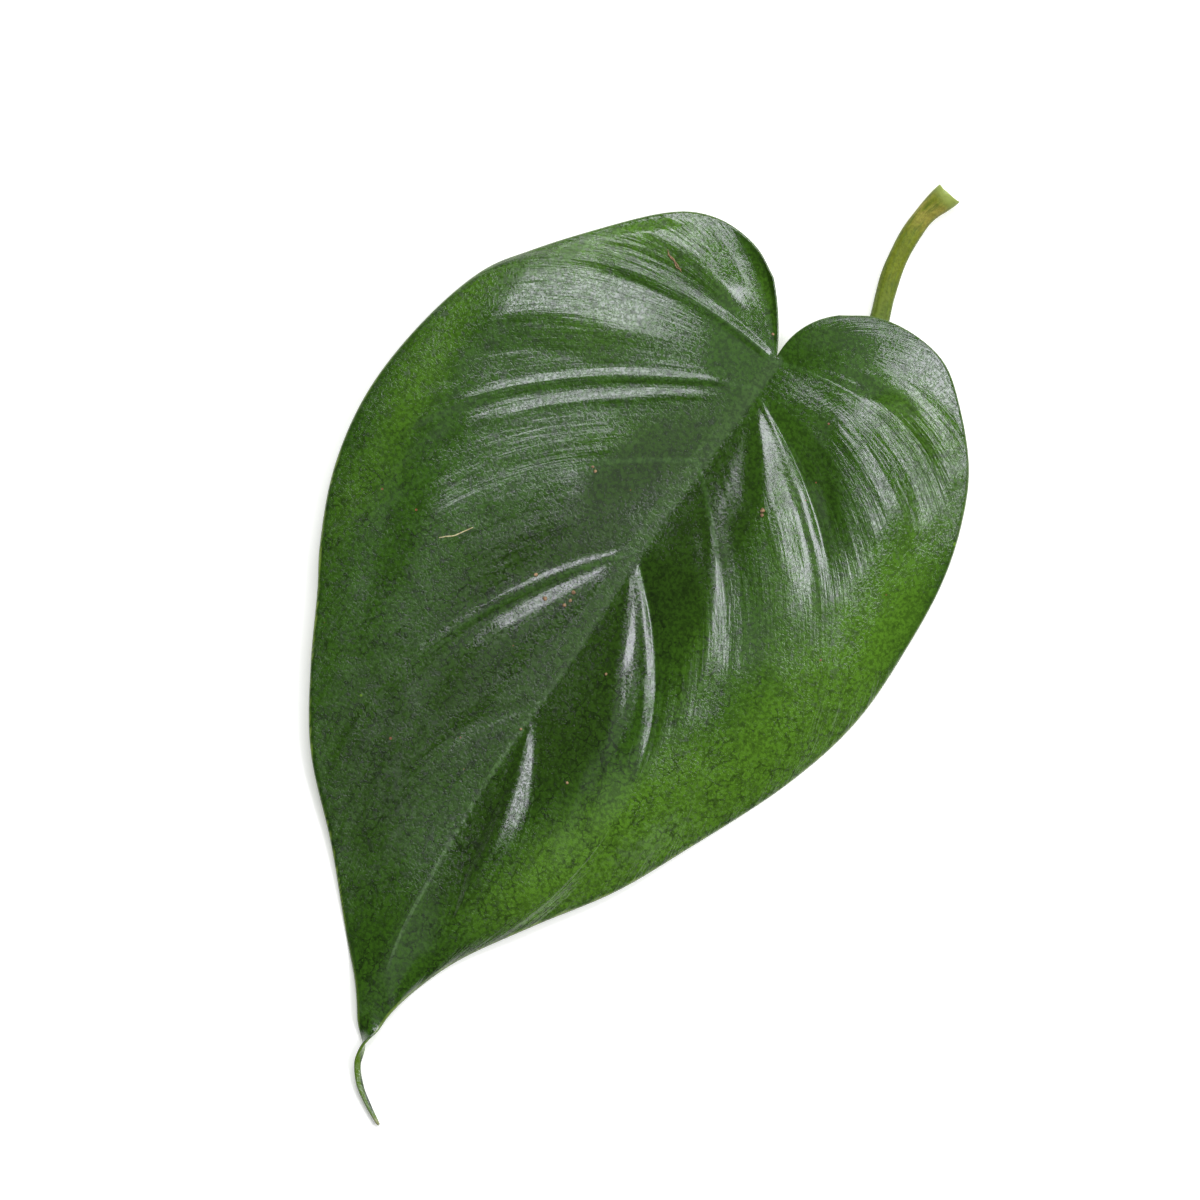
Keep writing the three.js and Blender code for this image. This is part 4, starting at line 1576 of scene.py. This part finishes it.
BROWN_LITTER = LitterFinish("brown_litter_finish", (0.36, 0.24, 0.11), (0.14, 0.08, 0.035))
PALE_LITTER = LitterFinish("pale_litter_finish", (0.62, 0.58, 0.3), (0.4, 0.34, 0.15))


def new_material(
    name: str, effects: Effects | None = None
) -> tuple[bpy.types.Material, Sheet, bpy.types.Node]:
    """Makes a material with a plain shader in it.

    Args:
        name: the material's name.
        effects: the shared effects, where it uses them.

    Returns:
        The material, its sheet and its shader.
    """
    made = bpy.data.materials.new(name)
    made.use_nodes = True
    return made, Sheet(made.node_tree, effects), made.node_tree.nodes["Principled BSDF"]


@dataclass(frozen=True)
class SoftLight:
    """A soft light one metre away, aimed at the leaf.

    `azimuth` is its direction in the picture, in degrees from picture right, anticlockwise, and
    `zenith` its angle from straight overhead. `sides` are its width and its height in metres, and
    `glow` says how bright its face is, where a white floor reads about 1.
    """

    name: str
    azimuth: float
    zenith: float
    sides: tuple[float, float]
    glow: float


@dataclass
class Studio:
    """The plain floor, the soft lights and the camera above the leaf.

    The camera looks straight down with its picture turned as in the photograph, where the notch
    lies at `notch_pixel` and the leaf's own Y axis leans by `turn`.
    """

    notch_pixel: tuple[float, float] = (775.0, 362.0)
    picture_side: float = 1200.0
    pixel_size: float = 0.14
    turn: float = math.radians(31.2)
    focus_height: float = 3.0
    lens: float = 180.0
    sensor: float = 36.0
    floor_side: float = 6.0
    floor_colour: Colour = (0.94, 0.97, 0.85)
    floor_glow: float = 0.25
    floor_roughness: float = 0.9
    floor_gap: float = 0.00005
    ambient: float = 0.08
    light_colour: Colour = (0.9, 0.875, 1.0)
    lights: tuple[SoftLight, ...] = (
        SoftLight("right_light", 10, 36, (0.58, 0.42), 11.0),
        SoftLight("far_light", 87, 36, (0.66, 0.44), 10.5),
        SoftLight("overhead_light", 300, 5, (0.5, 0.62), 0.5),
    )
    placement: Placement = field(default_factory=Placement)

    def aim(self) -> tuple[float, float]:
        """The leaf place at the middle of the picture, in millimetres."""
        right = (self.picture_side / 2 - self.notch_pixel[0]) * self.pixel_size
        down = (self.picture_side / 2 - self.notch_pixel[1]) * self.pixel_size
        cosine, sine = math.cos(self.turn), math.sin(self.turn)
        return right * cosine + down * sine, right * sine - down * cosine

    def camera(self) -> None:
        """Sets the camera straight above the leaf."""
        data = bpy.data.cameras.new("camera")
        data.lens, data.sensor_width = self.lens, self.sensor
        data.clip_start, data.clip_end = 0.05, 10
        wide = self.picture_side * self.pixel_size
        x, y = self.aim()
        height = self.focus_height + wide * self.lens / self.sensor
        obj = placed("camera", data)
        obj.location = self.placement.place(np.array([x, y, height]))
        obj.rotation_euler = (0, 0, self.turn)
        bpy.context.scene.camera = obj

    def soft_light(self, light: SoftLight) -> None:
        """Places one of the soft lights."""
        data = bpy.data.lights.new(light.name, "AREA")
        data.shape, data.size, data.size_y = "RECTANGLE", *light.sides
        data.energy = light.glow * math.pi * light.sides[0] * light.sides[1]
        data.color = self.light_colour
        obj = placed(light.name, data)
        turn, lean = math.radians(light.azimuth) + self.turn, math.radians(light.zenith)
        reach = math.sin(lean)
        obj.location = (reach * math.cos(turn), reach * math.sin(turn), math.cos(lean))
        obj.rotation_euler = (-Vector(obj.location)).to_track_quat("-Z", "Y").to_euler()

    def floor(self) -> None:
        """A plain pale floor under the leaf."""
        mesh = bpy.data.meshes.new("floor")
        half, height = self.floor_side / 2, float(CAD_BOX[0][2]) - self.floor_gap
        signs = ((-1, -1), (1, -1), (1, 1), (-1, 1))
        mesh.from_pydata([(x * half, y * half, height) for x, y in signs], [], [(0, 1, 2, 3)])
        obj = placed("floor", mesh)
        made, _, shader = new_material("floor_finish")
        shader.inputs["Base Color"].default_value = (*self.floor_colour, 1)
        shader.inputs["Roughness"].default_value = self.floor_roughness
        shader.inputs["Emission Color"].default_value = (1, 1, 1, 1)
        shader.inputs["Emission Strength"].default_value = self.floor_glow
        shader.inputs["Specular IOR Level"].default_value = 0.0
        mesh.materials.append(made)

    def build(self) -> None:
        """Makes the floor, the lights and the camera."""
        self.floor()
        self.camera()
        for light in self.lights:
            self.soft_light(light)
        world = bpy.data.worlds.new("studio")
        world.use_nodes = True
        background = world.node_tree.nodes["Background"]
        background.inputs["Color"].default_value = (1, 1, 1, 1)
        background.inputs["Strength"].default_value = self.ambient
        bpy.context.scene.world = world
        bpy.context.scene.view_settings.view_transform = "Standard"


def report(piece: bpy.types.Object) -> None:
    """Logs a piece's name, its triangles and its lowest and highest point."""
    triangles = sum(len(polygon.vertices) - 2 for polygon in piece.data.polygons)
    heights = [vertex.co.z for vertex in piece.data.vertices]
    LOG.info("%s: %d triangles, from %.2f mm to %.2f mm", piece.name, triangles,
             min(heights) / MILLIMETRE, max(heights) / MILLIMETRE)


def attach(
    piece: bpy.types.Object, material: bpy.types.Material, node: str | None = None
) -> None:
    """Dresses a piece and fixes it to the part.

    Args:
        piece: the piece.
        material: its material.
        node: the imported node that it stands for, if it stands for one.
    """
    piece.data.materials.append(material)
    if node:
        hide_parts(node)
    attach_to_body(piece, "root")
    report(piece)


def main() -> None:
    """Builds the studio and the leaf, piece by piece."""
    logging.basicConfig(level=logging.INFO, format="%(name)s: %(message)s")
    Studio().build()
    effects = EffectGroups().build()
    blade = Blade().build()
    attach(blade, BladeFinish().material(effects), "leaf_blade")
    stalk = Stalk().build()
    attach(stalk, StalkFinish().material(effects), "petiole")
    litter = Litter(blade).build()
    attach(litter["brown_litter"], BROWN_LITTER.material())
    attach(litter["pale_fibres"], PALE_LITTER.material())


if __name__ == "__main__":
    main()
